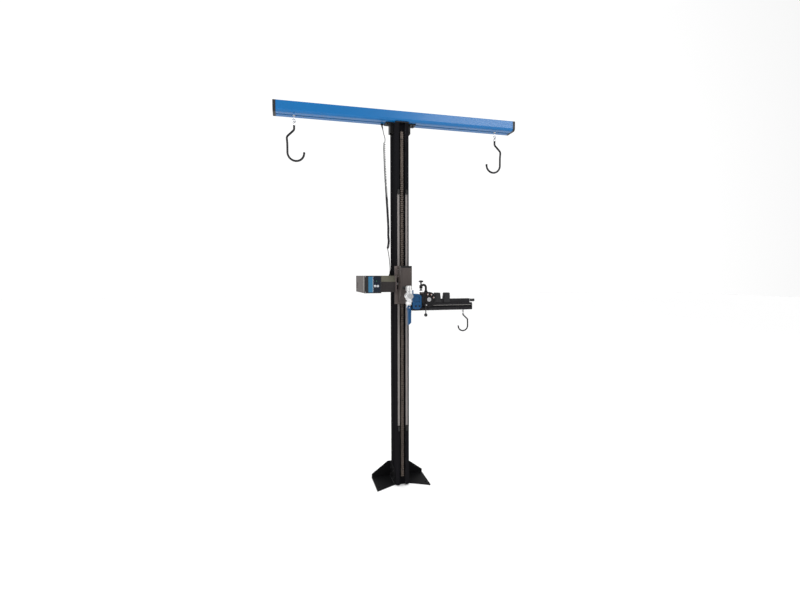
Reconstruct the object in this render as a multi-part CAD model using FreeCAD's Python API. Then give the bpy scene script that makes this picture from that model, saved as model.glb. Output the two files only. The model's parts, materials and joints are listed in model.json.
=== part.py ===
"""Floor-bolted repair stand for bicycles: a slotted mast with a top bar and hooks, a rack-driven
carriage with a motor housing, and a tilting beam clamp.

Frame: millimetres, origin on the floor at the mast's axis, +X along the top bar, front of the stand
towards -Y, +Z up. Each function below builds one sub-part and names it in the table at the end.
"""

import FreeCAD, Part
import math
import os

Vector = FreeCAD.Vector
AXIS = {"X": Vector(1, 0, 0), "Y": Vector(0, 1, 0), "Z": Vector(0, 0, 1)}

# ---------------------------------------------------------------- driving dimensions
# Heights are drawn from a datum 35 mm above the floor, and main() raises every sub-part by that much
FLOOR_Z = -35.0

# Floor base
PLATE_T = 8.0
PLATE_TOP = FLOOR_Z + PLATE_T
BASE_HALF_WIDTH = 180.0
BASE_BACK = 92.0
BASE_FRONT = -113.0
BASE_THROAT_Y = -48.0
GUSSET_T = 8.0
GUSSET_END = FLOOR_Z + 27.0
GUSSET_TOP = FLOOR_Z + 110.0
ANCHOR_X = 160.0
ANCHOR_Y = 68.0
ANCHOR_R = 6.5

# Mast extrusion
MAST_HALF_W = 45.0
MAST_HALF_D = 74.0
MAST_CORNER = 12.0
MAST_WALL = 5.0
KNEE = 1 - math.sqrt(0.5)
MAST_TOP = 2339.0
SLOT_HALF = 18.5
SLOT_FLOOR_Y = -47.0
GROOVE_Y = (-2.0, 14.0)
GROOVE_DEPTH = 7.0

# Top bar
BAR_HALF_LENGTH = 777.0
BAR_CAP = 18.0
BAR_BOTTOM = MAST_TOP + 6.0
BAR_TOP = BAR_BOTTOM + 65.0
BAR_FRONT = -74.0
BAR_BACK = 26.0
BAR_SLOT_Y = -18.0
BAR_ROUND = 18.0
BAR_EDGE = 3.0
HOOK_X = 670.0
BAR_BOLT_X = 84.0

# Rack and pinion
MODULE = 4.0
PINION_TEETH = 14
PRESSURE = math.radians(20.0)
RACK_ADDENDUM = 3.2
RACK_DEDENDUM = 4.4
PINION_ADDENDUM = 3.6
PINION_DEDENDUM = 4.0
TOOTH_PLAY = 0.2
RACK_PITCH_Y = -62.0
RACK_HALF_W = 9.0
RACK_SEGMENTS = 4
RACK_SEGMENT_TEETH = 45
PITCH = math.pi * MODULE
PINION_R = MODULE * PINION_TEETH / 2
SHAFT_Y = RACK_PITCH_Y - PINION_R
SHAFT_Z = 1311.5
SHAFT_R = 8.0
RUNNING = 0.05

# Carriage
CAR_BOTTOM = 1181.0
CAR_TOP = 1425.0
CAR_INNER = 48.0
CAR_OUTER = 56.0
CAR_FRONT = -88.0
CAR_PLATE_Y = -80.0
CAR_SIDE_BACK = 20.0
COVER_HALF = 36.0
COVER_FRONT = -170.0
COVER_KNEE_Z = 1240.0
EAR_FRONT = -112.0
GAP = 0.3

# Arm and motor housing
ARM_LOW = 1259.0
ARM_HIGH = 1364.0
ARM_BACK = 18.0
BOX_LEFT = -283.0
BOX_RIGHT = -181.0
BOX_FRONT = -267.0
BOX_BACK = 62.0
BEZEL_T = 5.0
BACK_COVER_T = 3.0
BUTTON_Z = 1302.0
BUTTON_X = {"up": -219.0, "down": -203.0}
BUTTON_SIZE = 12.0

# Clamp
CLAMP_Y = -221.0
TILT_Z = 1238.0
STUB_R = 12.5
CAM_Z = 1166.0
BEAM_X = (20.0, 411.0)
BEAM_Z = (1148.0, 1193.0)
BEAM_HALF_D = 21.0
RAIL_X = (150.0, 388.0)
RAIL_TOP = 1218.0
JAW_TOP = 1257.0
JAW_HALF_D = 20.0
JAW_SCREW_Z = 1207.0
JAW_SCREW_R = 5.0
HEAD_X = 122.0
HEAD_Z = 1216.0
HEAD_R = 47.0
SEAT_X = 80.0
POST_X = 112.0
HANDLE_Z = 1328.0
HANDLE_REACH = 14.0
LOCK_X = 99.0
LOCK_Z = 1183.0
BEAM_HOOK_X = 361.0

# Curly cord: the lead's diameter, the coil's outer diameter and the points of its route
LEAD_D = 4.8
COIL_D = 16.0
UPPER_GLAND = (-115.0, 5.0)
LOWER_GLAND = (-67.0, -6.0)
GLAND_LENGTH = 14.0
TOP_LEAD = [
    (*UPPER_GLAND, BAR_BOTTOM - GLAND_LENGTH), (-109, 4, 2308), (-105, 2, 2281), (-95, 0, 2252),
    (-100, -1, 2230),
]
COIL_ROUTE = [
    (-100, -1, 2230), (-103, -2, 2186), (-100, -3, 2113), (-97, -4, 2025), (-92, -5, 1936),
    (-87, -6, 1850), (-82, -6, 1765), (-77, -6, 1670), (-79, -6, 1622), (-73, -6, 1580), (-84, -6, 1537),
]
LOW_LEAD = [
    (-84, -6, 1537), (-76, -6, 1504), (-70, -6, 1455), (*LOWER_GLAND, 1410),
    (*LOWER_GLAND, ARM_HIGH + GLAND_LENGTH),
]


# ---------------------------------------------------------------- helpers
def point(plane, u, v, w=0.0):
    """A point of a drawing plane: XZ, YZ or XY, with w along the plane's normal axis."""
    return {"XZ": Vector(u, w, v), "YZ": Vector(w, u, v), "XY": Vector(u, v, w)}[plane]


def outline_face(outline, plane, w):
    """A face from corners (u, v); a corner of four numbers ends an arc through its first two."""
    corners = [point(plane, c[-2], c[-1], w) for c in outline]
    edges = []
    for i, corner in enumerate(outline):
        begin, end = corners[i - 1], corners[i]
        if len(corner) == 4:
            edges.append(Part.Arc(begin, point(plane, corner[0], corner[1], w), end).toShape())
        else:
            edges.append(Part.LineSegment(begin, end).toShape())
    return Part.Face(Part.Wire(edges))


def prism(outline, plane, low, high):
    """An outline drawn in a plane, extruded along the plane's normal from low to high."""
    normal = {"XZ": AXIS["Y"], "YZ": AXIS["X"], "XY": AXIS["Z"]}[plane]
    return outline_face(outline, plane, low).extrude(normal * (high - low))


def block(x, y, z):
    """A box between pairs of limits."""
    return Part.makeBox(x[1] - x[0], y[1] - y[0], z[1] - z[0], Vector(x[0], y[0], z[0]))


def rod(axis, start, length, radius):
    """A cylinder along a named axis."""
    return Part.makeCylinder(radius, length, Vector(*start), AXIS[axis])


def ring(axis, centre, major, minor):
    """A round eye whose axis is a named axis."""
    return Part.makeTorus(major, minor, Vector(*centre), AXIS[axis])


def fuse(first, *others):
    """One solid from several that meet."""
    joined = first.multiFuse(list(others)).removeSplitter()
    return joined.Solids[0] if len(joined.Solids) == 1 else joined


def cut(shape, *tools):
    """A shape less some others."""
    return shape.cut(Part.Compound(list(tools)))


def mirror(shape):
    """The same shape on the other side of the mast."""
    return shape.mirror(Vector(0, 0, 0), AXIS["X"])


def bolt(axis, start, length, radius, head, sign=1):
    """A socket bolt: its shank runs from start, and its head lies behind start."""
    direction = AXIS[axis] * sign
    shank = Part.makeCylinder(radius, length, Vector(*start), direction)
    cap = Part.makeCylinder(radius * 1.6, head, Vector(*start), direction * -1)
    socket = Part.makeCylinder(radius * 0.7, head * 0.6, Vector(*start) - direction * head, direction)
    return cut(fuse(shank, cap), socket)


def rounded_path(points, radius_at):
    """Straight runs joined by tangent arcs; radius_at(i, turn, shorter run) gives each arc."""
    knots = [Vector(*p) for p in points]
    edges = []
    radii = []
    begin = knots[0]
    for i in range(1, len(knots) - 1):
        back = knots[i - 1] - knots[i]
        ahead = knots[i + 1] - knots[i]
        shorter = min(back.Length, ahead.Length)
        turn = math.pi - back.getAngle(ahead)
        radius = radius_at(i, turn, shorter)
        reach = radius * math.tan(turn / 2)
        back.normalize()
        ahead.normalize()
        enter = knots[i] + back * reach
        leave = knots[i] + ahead * reach
        inward = back + ahead
        inward.normalize()
        middle = knots[i] + inward * (radius / math.cos(turn / 2) - radius)
        edges.append(Part.LineSegment(begin, enter).toShape())
        edges.append(Part.Arc(enter, middle, leave).toShape())
        radii.append(radius)
        begin = leave
    edges.append(Part.LineSegment(begin, knots[-1]).toShape())
    return Part.Wire(edges), radii


def sweep(path, radius):
    """A round bar along a path."""
    first = path.Edges[0]
    start = first.valueAt(first.FirstParameter)
    heading = first.tangentAt(first.FirstParameter)
    profile = Part.Wire(Part.makeCircle(radius, start, heading))
    return path.makePipeShell([profile], True, False)


def t_slot(corner, inward, opening, inner, depth, span):
    """The tool for a T-slot along X, from the middle of its mouth (y, z) inwards along y or z."""
    lip = depth * 0.4
    tools = []
    for half, begin, end in ((opening, -1.0, lip), (inner, lip, depth)):
        limits = []
        for middle, way in zip(corner, inward):
            if way:
                limits.append(sorted((middle + way * begin, middle + way * end)))
            else:
                limits.append((middle - half, middle + half))
        tools.append(block(span, limits[0], limits[1]))
    return fuse(*tools)


# ---------------------------------------------------------------- floor base and mast
def floor_base():
    """The welded base: flared floor plate, sloped back gusset and two cheeks beside the mast."""
    plate = prism(
        [
            (-BASE_HALF_WIDTH, BASE_BACK), (-BASE_HALF_WIDTH, BASE_FRONT), (-50, BASE_THROAT_Y),
            (50, BASE_THROAT_Y), (BASE_HALF_WIDTH, BASE_FRONT), (BASE_HALF_WIDTH, BASE_BACK),
        ],
        "XY", FLOOR_Z, PLATE_TOP,
    )
    gusset = prism(
        [(-BASE_HALF_WIDTH, PLATE_TOP), (-BASE_HALF_WIDTH, GUSSET_END), (-67, GUSSET_TOP),
         (67, GUSSET_TOP), (BASE_HALF_WIDTH, GUSSET_END), (BASE_HALF_WIDTH, PLATE_TOP)],
        "XZ", BASE_BACK - GUSSET_T, BASE_BACK,
    )
    cheek = prism(
        [(-52, PLATE_TOP), (-58, PLATE_TOP + 12), (-44, GUSSET_TOP), (BASE_BACK - GUSSET_T, GUSSET_TOP),
         (BASE_BACK - GUSSET_T, PLATE_TOP)],
        "YZ", MAST_HALF_W, MAST_HALF_W + 6,
    )
    base = fuse(plate, gusset, cheek, mirror(cheek))
    anchors = [
        rod("Z", (sx * ANCHOR_X, sy * ANCHOR_Y, FLOOR_Z - 1), PLATE_T + 2, ANCHOR_R)
        for sx in (-1, 1) for sy in (-1, 1)
    ]
    return cut(base, *anchors, *cheek_bolt_holes(4.2))


def cheek_bolt_places():
    """Where the base's cheeks are bolted through the mast's side walls."""
    return [(y, FLOOR_Z + z) for y in (-25, 42) for z in (38, 84)]


def cheek_bolt_holes(radius):
    """Cross holes for the cheek bolts."""
    return [rod("X", (-70, y, z), 140, radius) for y, z in cheek_bolt_places()]


def base_bolts():
    """Eight bolts that hold the mast between the cheeks."""
    bolts = []
    for y, z in cheek_bolt_places():
        left = bolt("X", (-MAST_HALF_W - 6, y, z), 18, 4.0, 5.0)
        bolts += [left, mirror(left)]
    return Part.Compound(bolts)


def mast():
    """The hollow extrusion with a front slot for the rack and a groove along each side."""
    w, d, c = MAST_HALF_W, MAST_HALF_D, MAST_CORNER
    knee = c * KNEE
    g0, g1 = GROOVE_Y
    side = w - GROOVE_DEPTH
    right = [
        (SLOT_HALF, SLOT_FLOOR_Y), (SLOT_HALF, -d + 5), (SLOT_HALF + 1.5, -d + 5), (SLOT_HALF + 1.5, -d),
        (w - c, -d), (w - knee, -d + knee, w, -d + c), (w, g0), (side, g0), (side, g1), (w, g1), (w, d),
    ]
    left = [(-corner[-2], corner[-1]) for corner in reversed(right)]
    front_corner = left.index((-(w - c), -d))
    left[front_corner] = (-(w - knee), -d + knee, -(w - c), -d)
    body = prism(right + left, "XY", PLATE_TOP, MAST_TOP)
    iw, idepth = w - MAST_WALL, d - MAST_WALL
    inner = [
        (iw, SLOT_FLOOR_Y + MAST_WALL), (iw, g0 - 4), (side - 4, g0 - 4), (side - 4, g1 + 4),
        (iw, g1 + 4), (iw, idepth), (-iw, idepth), (-iw, g1 + 4), (4 - side, g1 + 4),
        (4 - side, g0 - 4), (-iw, g0 - 4), (-iw, SLOT_FLOOR_Y + MAST_WALL),
    ]
    hollow = prism(inner, "XY", PLATE_TOP - 1, MAST_TOP + 1)
    corner_voids = []
    for sign in (-1, 1):
        x = sorted((sign * (SLOT_HALF + 5), sign * (w - MAST_WALL)))
        corner_voids.append(block(x, (-d + 6, SLOT_FLOOR_Y + 0.5), (PLATE_TOP - 1, MAST_TOP + 1)))
    screws = [rod("Y", (0, SLOT_FLOOR_Y - 1, z), 8, 2.6) for z in rack_screw_heights()]
    return cut(body, hollow, *corner_voids, *screws, *cheek_bolt_holes(4.2))


def rack_bottom():
    """Height of the lowest tooth's gap, in step with the pinion at the shaft's height."""
    teeth = RACK_SEGMENTS * RACK_SEGMENT_TEETH
    below = round((SHAFT_Z - (MAST_TOP + PLATE_TOP) / 2) / PITCH + teeth / 2)
    return SHAFT_Z - (below + 0.5) * PITCH


def rack_screw_heights():
    """Two screws in each length of rack, each in the middle of a gap between teeth."""
    start = rack_bottom()
    length = RACK_SEGMENT_TEETH * PITCH
    return [start + i * length + n * PITCH for i in range(RACK_SEGMENTS) for n in (4, 41)]


def gear_rack():
    """Four lengths of toothed rack, end to end in the mast's front slot."""
    thickness = PITCH / 2 - TOOTH_PLAY
    tip = thickness / 2 - RACK_ADDENDUM * math.tan(PRESSURE)
    root = thickness / 2 + RACK_DEDENDUM * math.tan(PRESSURE)
    tip_y = RACK_PITCH_Y - RACK_ADDENDUM
    root_y = RACK_PITCH_Y + RACK_DEDENDUM
    lengths = []
    for i in range(RACK_SEGMENTS):
        low = rack_bottom() + i * RACK_SEGMENT_TEETH * PITCH
        high = low + RACK_SEGMENT_TEETH * PITCH
        corners = [(SLOT_FLOOR_Y, low), (root_y, low)]
        for n in range(RACK_SEGMENT_TEETH):
            z = low + (n + 0.5) * PITCH
            corners += [(root_y, z - root), (tip_y, z - tip), (tip_y, z + tip), (root_y, z + root)]
        corners += [(root_y, high), (SLOT_FLOOR_Y, high)]
        strip = prism(corners, "YZ", -RACK_HALF_W, RACK_HALF_W)
        drills = []
        for z in rack_screw_heights()[2 * i:2 * i + 2]:
            drills.append(rod("Y", (0, tip_y - 1, z), 30, 2.6))
            drills.append(rod("Y", (0, tip_y - 1, z), root_y + 5.5 - tip_y + 1, 5.0))
        lengths.append(cut(strip, *drills))
    return Part.Compound(lengths)


def rack_screws():
    """Screws sunk between the rack's teeth into the mast's slot floor."""
    head_y = RACK_PITCH_Y + RACK_DEDENDUM + 5.5
    return Part.Compound([bolt("Y", (0, head_y, z), 10.5, 2.5, 4.5) for z in rack_screw_heights()])


def travel_stop(low):
    """A pair of rubber blocks on the slot's lips that end the carriage's travel."""
    x = (SLOT_HALF + 2.5, MAST_HALF_W - MAST_CORNER - 1)
    pad = block(x, (-MAST_HALF_D - 12, -MAST_HALF_D), (low, low + 30))
    pad = pad.makeChamfer(2.0, [e for e in pad.Edges if abs(e.CenterOfMass.y + MAST_HALF_D + 12) < 0.1])
    return Part.Compound([pad, mirror(pad)])


# ---------------------------------------------------------------- top bar
def bar_profile():
    """The bar's section: small rounds at the top and a large round at the lower front corner."""
    front, back, low, high = BAR_FRONT, BAR_BACK, BAR_BOTTOM, BAR_TOP
    small, large = BAR_EDGE * KNEE, BAR_ROUND * KNEE
    return [
        (back, low),
        (back, high - BAR_EDGE),
        (back - small, high - small, back - BAR_EDGE, high),
        (front + BAR_EDGE, high),
        (front + small, high - small, front, high - BAR_EDGE),
        (front, low + BAR_ROUND),
        (front + large, low + large, front + BAR_ROUND, low),
    ]


def top_bar():
    """The hollow bar, open at its ends, with a T-slot along its underside."""
    body = prism(bar_profile(), "YZ", -BAR_HALF_LENGTH, BAR_HALF_LENGTH)
    ends = (-BAR_HALF_LENGTH - 1, BAR_HALF_LENGTH + 1)
    room = prism(
        [(BAR_BACK - 4, BAR_BOTTOM + 19), (BAR_BACK - 4, BAR_TOP - 4), (BAR_FRONT + 6, BAR_TOP - 4),
         (BAR_FRONT + 6, BAR_BOTTOM + 19)],
        "YZ", *ends,
    )
    side_rooms = [
        block(ends, (BAR_SLOT_Y + 17, BAR_BACK - 4), (BAR_BOTTOM + 4, BAR_BOTTOM + 16)),
        block(ends, (BAR_FRONT + 13, BAR_SLOT_Y - 17), (BAR_BOTTOM + 5, BAR_BOTTOM + 16)),
    ]
    slot = t_slot((BAR_SLOT_Y, BAR_BOTTOM), (0, 1), 6, 13, 15, ends)
    return cut(body, room, *side_rooms, slot)


def bar_end_cap(side):
    """The moulded cap that closes one end of the bar."""
    slab = prism(bar_profile(), "YZ", BAR_HALF_LENGTH, BAR_HALF_LENGTH + BAR_CAP)
    outer = [e for e in slab.Edges if abs(e.CenterOfMass.x - BAR_HALF_LENGTH - BAR_CAP) < 0.01]
    cap = slab.makeChamfer(1.5, outer)
    plug = block(
        (BAR_HALF_LENGTH - 20, BAR_HALF_LENGTH),
        (BAR_FRONT + 7, BAR_BACK - 5), (BAR_BOTTOM + 20, BAR_TOP - 5),
    )
    cap = fuse(cap, plug)
    return cap if side > 0 else mirror(cap)


def bar_cleat():
    """The right cleat: a box foot on the mast's side and a flange under the bar."""
    flange = block((MAST_HALF_W, 100), (-44, 24), (MAST_TOP, BAR_BOTTOM))
    outer = block((MAST_HALF_W, 68), (-24, 24), (MAST_TOP - 54, MAST_TOP))
    inner = block((MAST_HALF_W + 5, 63), (-19, 19), (MAST_TOP - 55, MAST_TOP))
    hole = rod("Z", (BAR_BOLT_X, BAR_SLOT_Y, MAST_TOP - 1), 8, 4.2)
    side_hole = rod("X", (MAST_HALF_W - 1, 0, MAST_TOP - 32), 30, 4.2)
    return cut(fuse(flange, cut(outer, inner)), side_hole, hole)


def bar_saddle():
    """The welded saddle: a plate that closes the mast's top, with a cleat on each side."""
    plate = block((-MAST_HALF_W, MAST_HALF_W), (-MAST_HALF_D, MAST_HALF_D), (MAST_TOP, BAR_BOTTOM))
    return fuse(plate, bar_cleat(), mirror(bar_cleat()))


def bar_bolts():
    """Two bolts up through the cleats' flanges into the bar's T-slot."""
    right = bolt("Z", (BAR_BOLT_X, BAR_SLOT_Y, MAST_TOP), 16, 4.0, 5.0)
    return Part.Compound([right, mirror(right)])


def slot_nut(x):
    """A T-nut in the bar's slot, bored for its bolt."""
    nut = block((x - 11, x + 11), (BAR_SLOT_Y - 12, BAR_SLOT_Y + 12), (BAR_BOTTOM + 6, BAR_BOTTOM + 14))
    return cut(nut, rod("Z", (x, BAR_SLOT_Y, BAR_BOTTOM), 30, 4.0))


def bar_t_nuts():
    """Four nuts in the slot: two for the cleats' bolts and two for the hooks."""
    right = [slot_nut(x) for x in (BAR_BOLT_X, HOOK_X)]
    return Part.Compound(right + [mirror(nut) for nut in right])


# ---------------------------------------------------------------- hooks
def eyebolt(x, y, surface, shank_r, drop, major, minor, rise):
    """A threaded eye: shank into the slot above, collar on the surface and a round eye below."""
    centre_z = surface - drop - major
    shank = rod("Z", (x, y, centre_z + major - minor * 0.3), rise + drop + minor * 0.3, shank_r)
    collar = rod("Z", (x, y, surface - 3), 3, shank_r * 2.0)
    return fuse(shank, collar, ring("Y", (x, y, centre_z), major, minor))


BAR_EYE = {"shank_r": 4.0, "drop": 26.0, "major": 9.0, "minor": 3.0, "rise": 14.0}
BEAM_EYE = {"shank_r": 2.5, "drop": 4.5, "major": 5.0, "minor": 2.0, "rise": 9.0}


def eye_pivot_z(surface, eye):
    """Where a hook's own eye rests in the eyebolt: the hook's swinging axis."""
    return surface - eye["drop"] - 2 * eye["major"] + 2 * eye["minor"] + 0.2


def hook_eye(x, y, surface, eye, neck_bottom, neck_r):
    """The hook's own eye, crosswise through the eyebolt, with the ferrule of the wire below it."""
    centre_z = eye_pivot_z(surface, eye) - eye["major"]
    top = centre_z - eye["major"]
    ferrule = rod("Z", (x, y, neck_bottom), top - neck_bottom + eye["minor"] * 0.5, neck_r)
    return fuse(ring("X", (x, y, centre_z), eye["major"], eye["minor"]), ferrule)


def hook_wire(offsets, bend, centre, radius, sweep_angle, wire_r):
    """A wire hook from (0, 0) down: an offset shank, a round bay to the left and a round tip."""
    cx, cz = centre
    knots = [(0.0, 0.0)] + offsets + [(cx - radius, cz)]
    shank, _ = rounded_path([(x, 0, z) for x, z in knots], lambda i, turn, shorter: bend)

    def round_bay(angle):
        return Vector(cx - radius * math.cos(angle), 0, cz - radius * math.sin(angle))

    bay = Part.Arc(round_bay(0), round_bay(sweep_angle / 2), round_bay(sweep_angle))
    wire = sweep(Part.Wire(shank.Edges + [bay.toShape()]), wire_r)
    return fuse(wire, Part.makeSphere(wire_r * 1.15, round_bay(sweep_angle)))


BAR_HOOK_TOP = BAR_BOTTOM - 64.0
BAR_HOOK_WIRE_R = 6.3
BAR_FERRULE_R = 6.5
BEAM_HOOK_TOP = BEAM_Z[0] - 27.0
BEAM_HOOK_WIRE_R = 4.3
BEAM_FERRULE_R = 4.5


def bar_hook(side):
    """A bar hook with its eye, the bay open towards the mast."""
    shank = [(0, -24), (-45, -68), (-42, -110)]
    wire = hook_wire(shank, 22.0, (8, -161), 50.0, math.pi, BAR_HOOK_WIRE_R)
    if side > 0:
        wire = mirror(wire)
    wire = wire.translated(Vector(side * HOOK_X, BAR_SLOT_Y, BAR_HOOK_TOP))
    eye = hook_eye(side * HOOK_X, BAR_SLOT_Y, BAR_BOTTOM, BAR_EYE, BAR_HOOK_TOP, BAR_FERRULE_R)
    return fuse(wire, eye)


def beam_hook():
    """The small hook under the beam with its eye, the bay open towards the mast."""
    shank = [(0, -7), (-31, -36), (-32, -56)]
    wire = mirror(hook_wire(shank, 10.0, (0, -78), 32.0, math.radians(176), BEAM_HOOK_WIRE_R))
    wire = wire.translated(Vector(BEAM_HOOK_X, CLAMP_Y, BEAM_HOOK_TOP))
    eye = hook_eye(BEAM_HOOK_X, CLAMP_Y, BEAM_Z[0], BEAM_EYE, BEAM_HOOK_TOP, BEAM_FERRULE_R)
    return fuse(wire, eye)


def bar_eyebolt(side):
    """An eyebolt of the bar."""
    return eyebolt(side * HOOK_X, BAR_SLOT_Y, BAR_BOTTOM, **BAR_EYE)


def beam_eyebolt():
    """The beam's eyebolt with its nut in the beam's lower slot."""
    nut = block((BEAM_HOOK_X - 7, BEAM_HOOK_X + 7), (CLAMP_Y - 7.5, CLAMP_Y + 7.5),
                (BEAM_Z[0] + 5, BEAM_Z[0] + 10))
    return fuse(eyebolt(BEAM_HOOK_X, CLAMP_Y, BEAM_Z[0], **BEAM_EYE), nut)


# ---------------------------------------------------------------- carriage
def carriage_frame():
    """The welded carriage: front plate, side plates, and ears that hold the pinion shaft."""
    plate = block((-CAR_OUTER, CAR_OUTER), (CAR_FRONT, CAR_PLATE_Y), (CAR_BOTTOM, CAR_TOP))
    side = block((CAR_INNER, CAR_OUTER), (CAR_PLATE_Y, CAR_SIDE_BACK), (CAR_BOTTOM, CAR_TOP))
    left_ear = block((-CAR_OUTER, -CAR_INNER), (EAR_FRONT, CAR_FRONT), (ARM_LOW + 3, ARM_HIGH - 3))
    right_ear = block((24, 32), (EAR_FRONT - 6, CAR_FRONT), (SHAFT_Z - 30, SHAFT_Z + 30))
    frame = fuse(plate, side, mirror(side), left_ear, right_ear, *cover_lugs())
    window = block((-CAR_INNER, 24), (CAR_FRONT - 1, CAR_PLATE_Y + 1), (SHAFT_Z - 36, SHAFT_Z + 36))
    seats = rod("X", (-CAR_OUTER - 1, SHAFT_Y, SHAFT_Z), 100, 14.0)
    bolt_holes = [rod("Y", (x, CAR_FRONT - 1, z), 20, 4.2) for x, z in stub_bolt_places()]
    notch = prism(
        [(CAR_SIDE_BACK + 1, CAR_BOTTOM - 1), (CAR_SIDE_BACK - 24, CAR_BOTTOM - 1),
         (CAR_SIDE_BACK + 1, CAR_BOTTOM + 24)],
        "YZ", -CAR_OUTER - 1, CAR_OUTER + 1,
    )
    return cut(frame, window, seats, notch, *bolt_holes)


def glide_heights():
    """The carriage's two levels of glide pads."""
    return [(CAR_BOTTOM + 26, CAR_BOTTOM + 76), (CAR_TOP - 56, CAR_TOP - 6)]


def side_glides():
    """Four plastic pads inside the side plates, each keyed into the mast's side groove."""
    g0, g1 = GROOVE_Y
    key_x = MAST_HALF_W - GROOVE_DEPTH + 0.4
    pads = []
    for z in glide_heights():
        slab = block((MAST_HALF_W + GAP, CAR_INNER), (-34, CAR_SIDE_BACK - 1), z)
        key = block((key_x, MAST_HALF_W + GAP), (g0 + 0.4, g1 - 0.4), z)
        pad = fuse(slab, key)
        pads += [pad, mirror(pad)]
    return Part.Compound(pads)


def front_glides():
    """Four plastic pads between the front plate and the mast's front lips."""
    pads = []
    for z in glide_heights():
        pad = block((21, MAST_HALF_W - MAST_CORNER), (CAR_PLATE_Y, -MAST_HALF_D - GAP), z)
        pads += [pad, mirror(pad)]
    return Part.Compound(pads)


def front_cover():
    """The folded cover over the pinion, notched for the shaft and holed for the stub."""
    wall = 2.5
    outer = [(CAR_FRONT, CAR_TOP), (COVER_FRONT + 12, CAR_TOP), (COVER_FRONT, CAR_TOP - 12),
             (COVER_FRONT, COVER_KNEE_Z), (CAR_FRONT, CAR_BOTTOM)]
    inner = [(CAR_FRONT + 1, CAR_TOP - wall), (COVER_FRONT + 13, CAR_TOP - wall),
             (COVER_FRONT + wall, CAR_TOP - 13), (COVER_FRONT + wall, COVER_KNEE_Z + 1.0),
             (CAR_FRONT + 1, CAR_BOTTOM + 3)]
    shell = prism(outer, "YZ", -COVER_HALF, COVER_HALF)
    room = prism(inner, "YZ", -COVER_HALF + wall, COVER_HALF - wall)
    stub_hole = rod("Y", (0, COVER_FRONT - 1, TILT_Z), 80, STUB_R + 1.0)
    notch = block((-COVER_HALF - 1, 0), (SHAFT_Y - 12, CAR_FRONT + 1), (SHAFT_Z - 12, SHAFT_Z + 12))
    return cut(shell, room, stub_hole, notch, *cover_screw_holes())


def cover_screw_places():
    """Heights and depth of the screws in the cover's side walls."""
    return [(-104, z) for z in (CAR_TOP - 67, CAR_TOP - 23)]


def cover_screw_holes():
    """Clearance for the cover screws."""
    return [rod("X", (-50, y, z), 100, 2.1) for y, z in cover_screw_places()]


def cover_screws():
    """Four screws in the cover's side walls, into lugs of the carriage."""
    screws = []
    for y, z in cover_screw_places():
        left = bolt("X", (-COVER_HALF, y, z), 12, 2.0, 2.2)
        screws += [left, mirror(left)]
    return Part.Compound(screws)


def cover_lugs():
    """Two folded lugs behind the cover that take its screws."""
    lugs = []
    for y, z in cover_screw_places():
        lug = fuse(
            block((-COVER_HALF + 2.5, COVER_HALF - 2.5), (CAR_FRONT - 3, CAR_FRONT), (z - 7, z + 7)),
            block((-COVER_HALF + 2.5, -COVER_HALF + 6), (y - 8, CAR_FRONT - 3), (z - 7, z + 7)),
            block((COVER_HALF - 6, COVER_HALF - 2.5), (y - 8, CAR_FRONT - 3), (z - 7, z + 7)),
        )
        lugs.append(cut(lug, rod("X", (-50, y, z), 100, 2.1)))
    return lugs


def drive_shaft():
    """The cross shaft from the gearbox to the pinion."""
    return rod("X", (-262, SHAFT_Y, SHAFT_Z), 295, SHAFT_R)


def pinion():
    """The involute pinion that climbs the rack; a gap between teeth faces the rack at rest."""
    base = PINION_R * math.cos(PRESSURE)
    outer = PINION_R + PINION_ADDENDUM
    root = PINION_R - PINION_DEDENDUM
    involute = math.tan(PRESSURE) - PRESSURE
    half = (math.pi * MODULE / 2 - TOOTH_PLAY) / (2 * PINION_R)

    def spot(radius, angle):
        return (SHAFT_Y + radius * math.cos(angle), SHAFT_Z + radius * math.sin(angle))

    def flank(radius):
        lean = math.acos(min(1.0, base / radius))
        return half + involute - (math.tan(lean) - lean)

    step = 2 * math.pi / PINION_TEETH
    outline = []
    middle = (base + outer) / 2
    for n in range(PINION_TEETH):
        centre = (n + 0.5) * step
        gap = centre - step / 2
        outline.append(spot(root, gap) + spot(root, centre - flank(base)))
        outline.append(spot(base, centre - flank(base)))
        outline.append(spot(middle, centre - flank(middle)) + spot(outer, centre - flank(outer)))
        outline.append(spot(outer, centre) + spot(outer, centre + flank(outer)))
        outline.append(spot(middle, centre + flank(middle)) + spot(base, centre + flank(base)))
        outline.append(spot(root, centre + flank(base)))
    gear = prism(outline, "YZ", -8, 8)
    hub = rod("X", (-20, SHAFT_Y, SHAFT_Z), 12, 14.0)
    return cut(fuse(gear, hub), rod("X", (-30, SHAFT_Y, SHAFT_Z), 60, SHAFT_R))


def shaft_bearings():
    """A bearing for the shaft in each ear of the carriage."""
    rings = []
    for x in (-CAR_OUTER, 24):
        rings.append(cut(rod("X", (x, SHAFT_Y, SHAFT_Z), 8, 14.0),
                         rod("X", (x - 1, SHAFT_Y, SHAFT_Z), 10, SHAFT_R + RUNNING)))
    return Part.Compound(rings)


def stub_bolt_places():
    """Four bolts round the stub's flange."""
    return [(21 * sx, TILT_Z + 21 * sz) for sx in (-1, 1) for sz in (-1, 1)]


def tilt_stub():
    """The flanged spigot that the clamp turns on, closed by its retaining cap."""
    spigot = rod("Y", (0, -268, TILT_Z), 268 + CAR_FRONT, STUB_R)
    flange = block((-31, 31), (CAR_FRONT - 8, CAR_FRONT), (TILT_Z - 31, TILT_Z + 31))
    collar = rod("Y", (0, -198, TILT_Z), 6, STUB_R + 5)
    bore = rod("Y", (0, -269, TILT_Z), 120, 7.0)
    holes = [rod("Y", (x, CAR_FRONT - 9, z), 10, 4.2) for x, z in stub_bolt_places()]
    return fuse(cut(fuse(spigot, flange, collar), bore, *holes), stub_cap())


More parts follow.
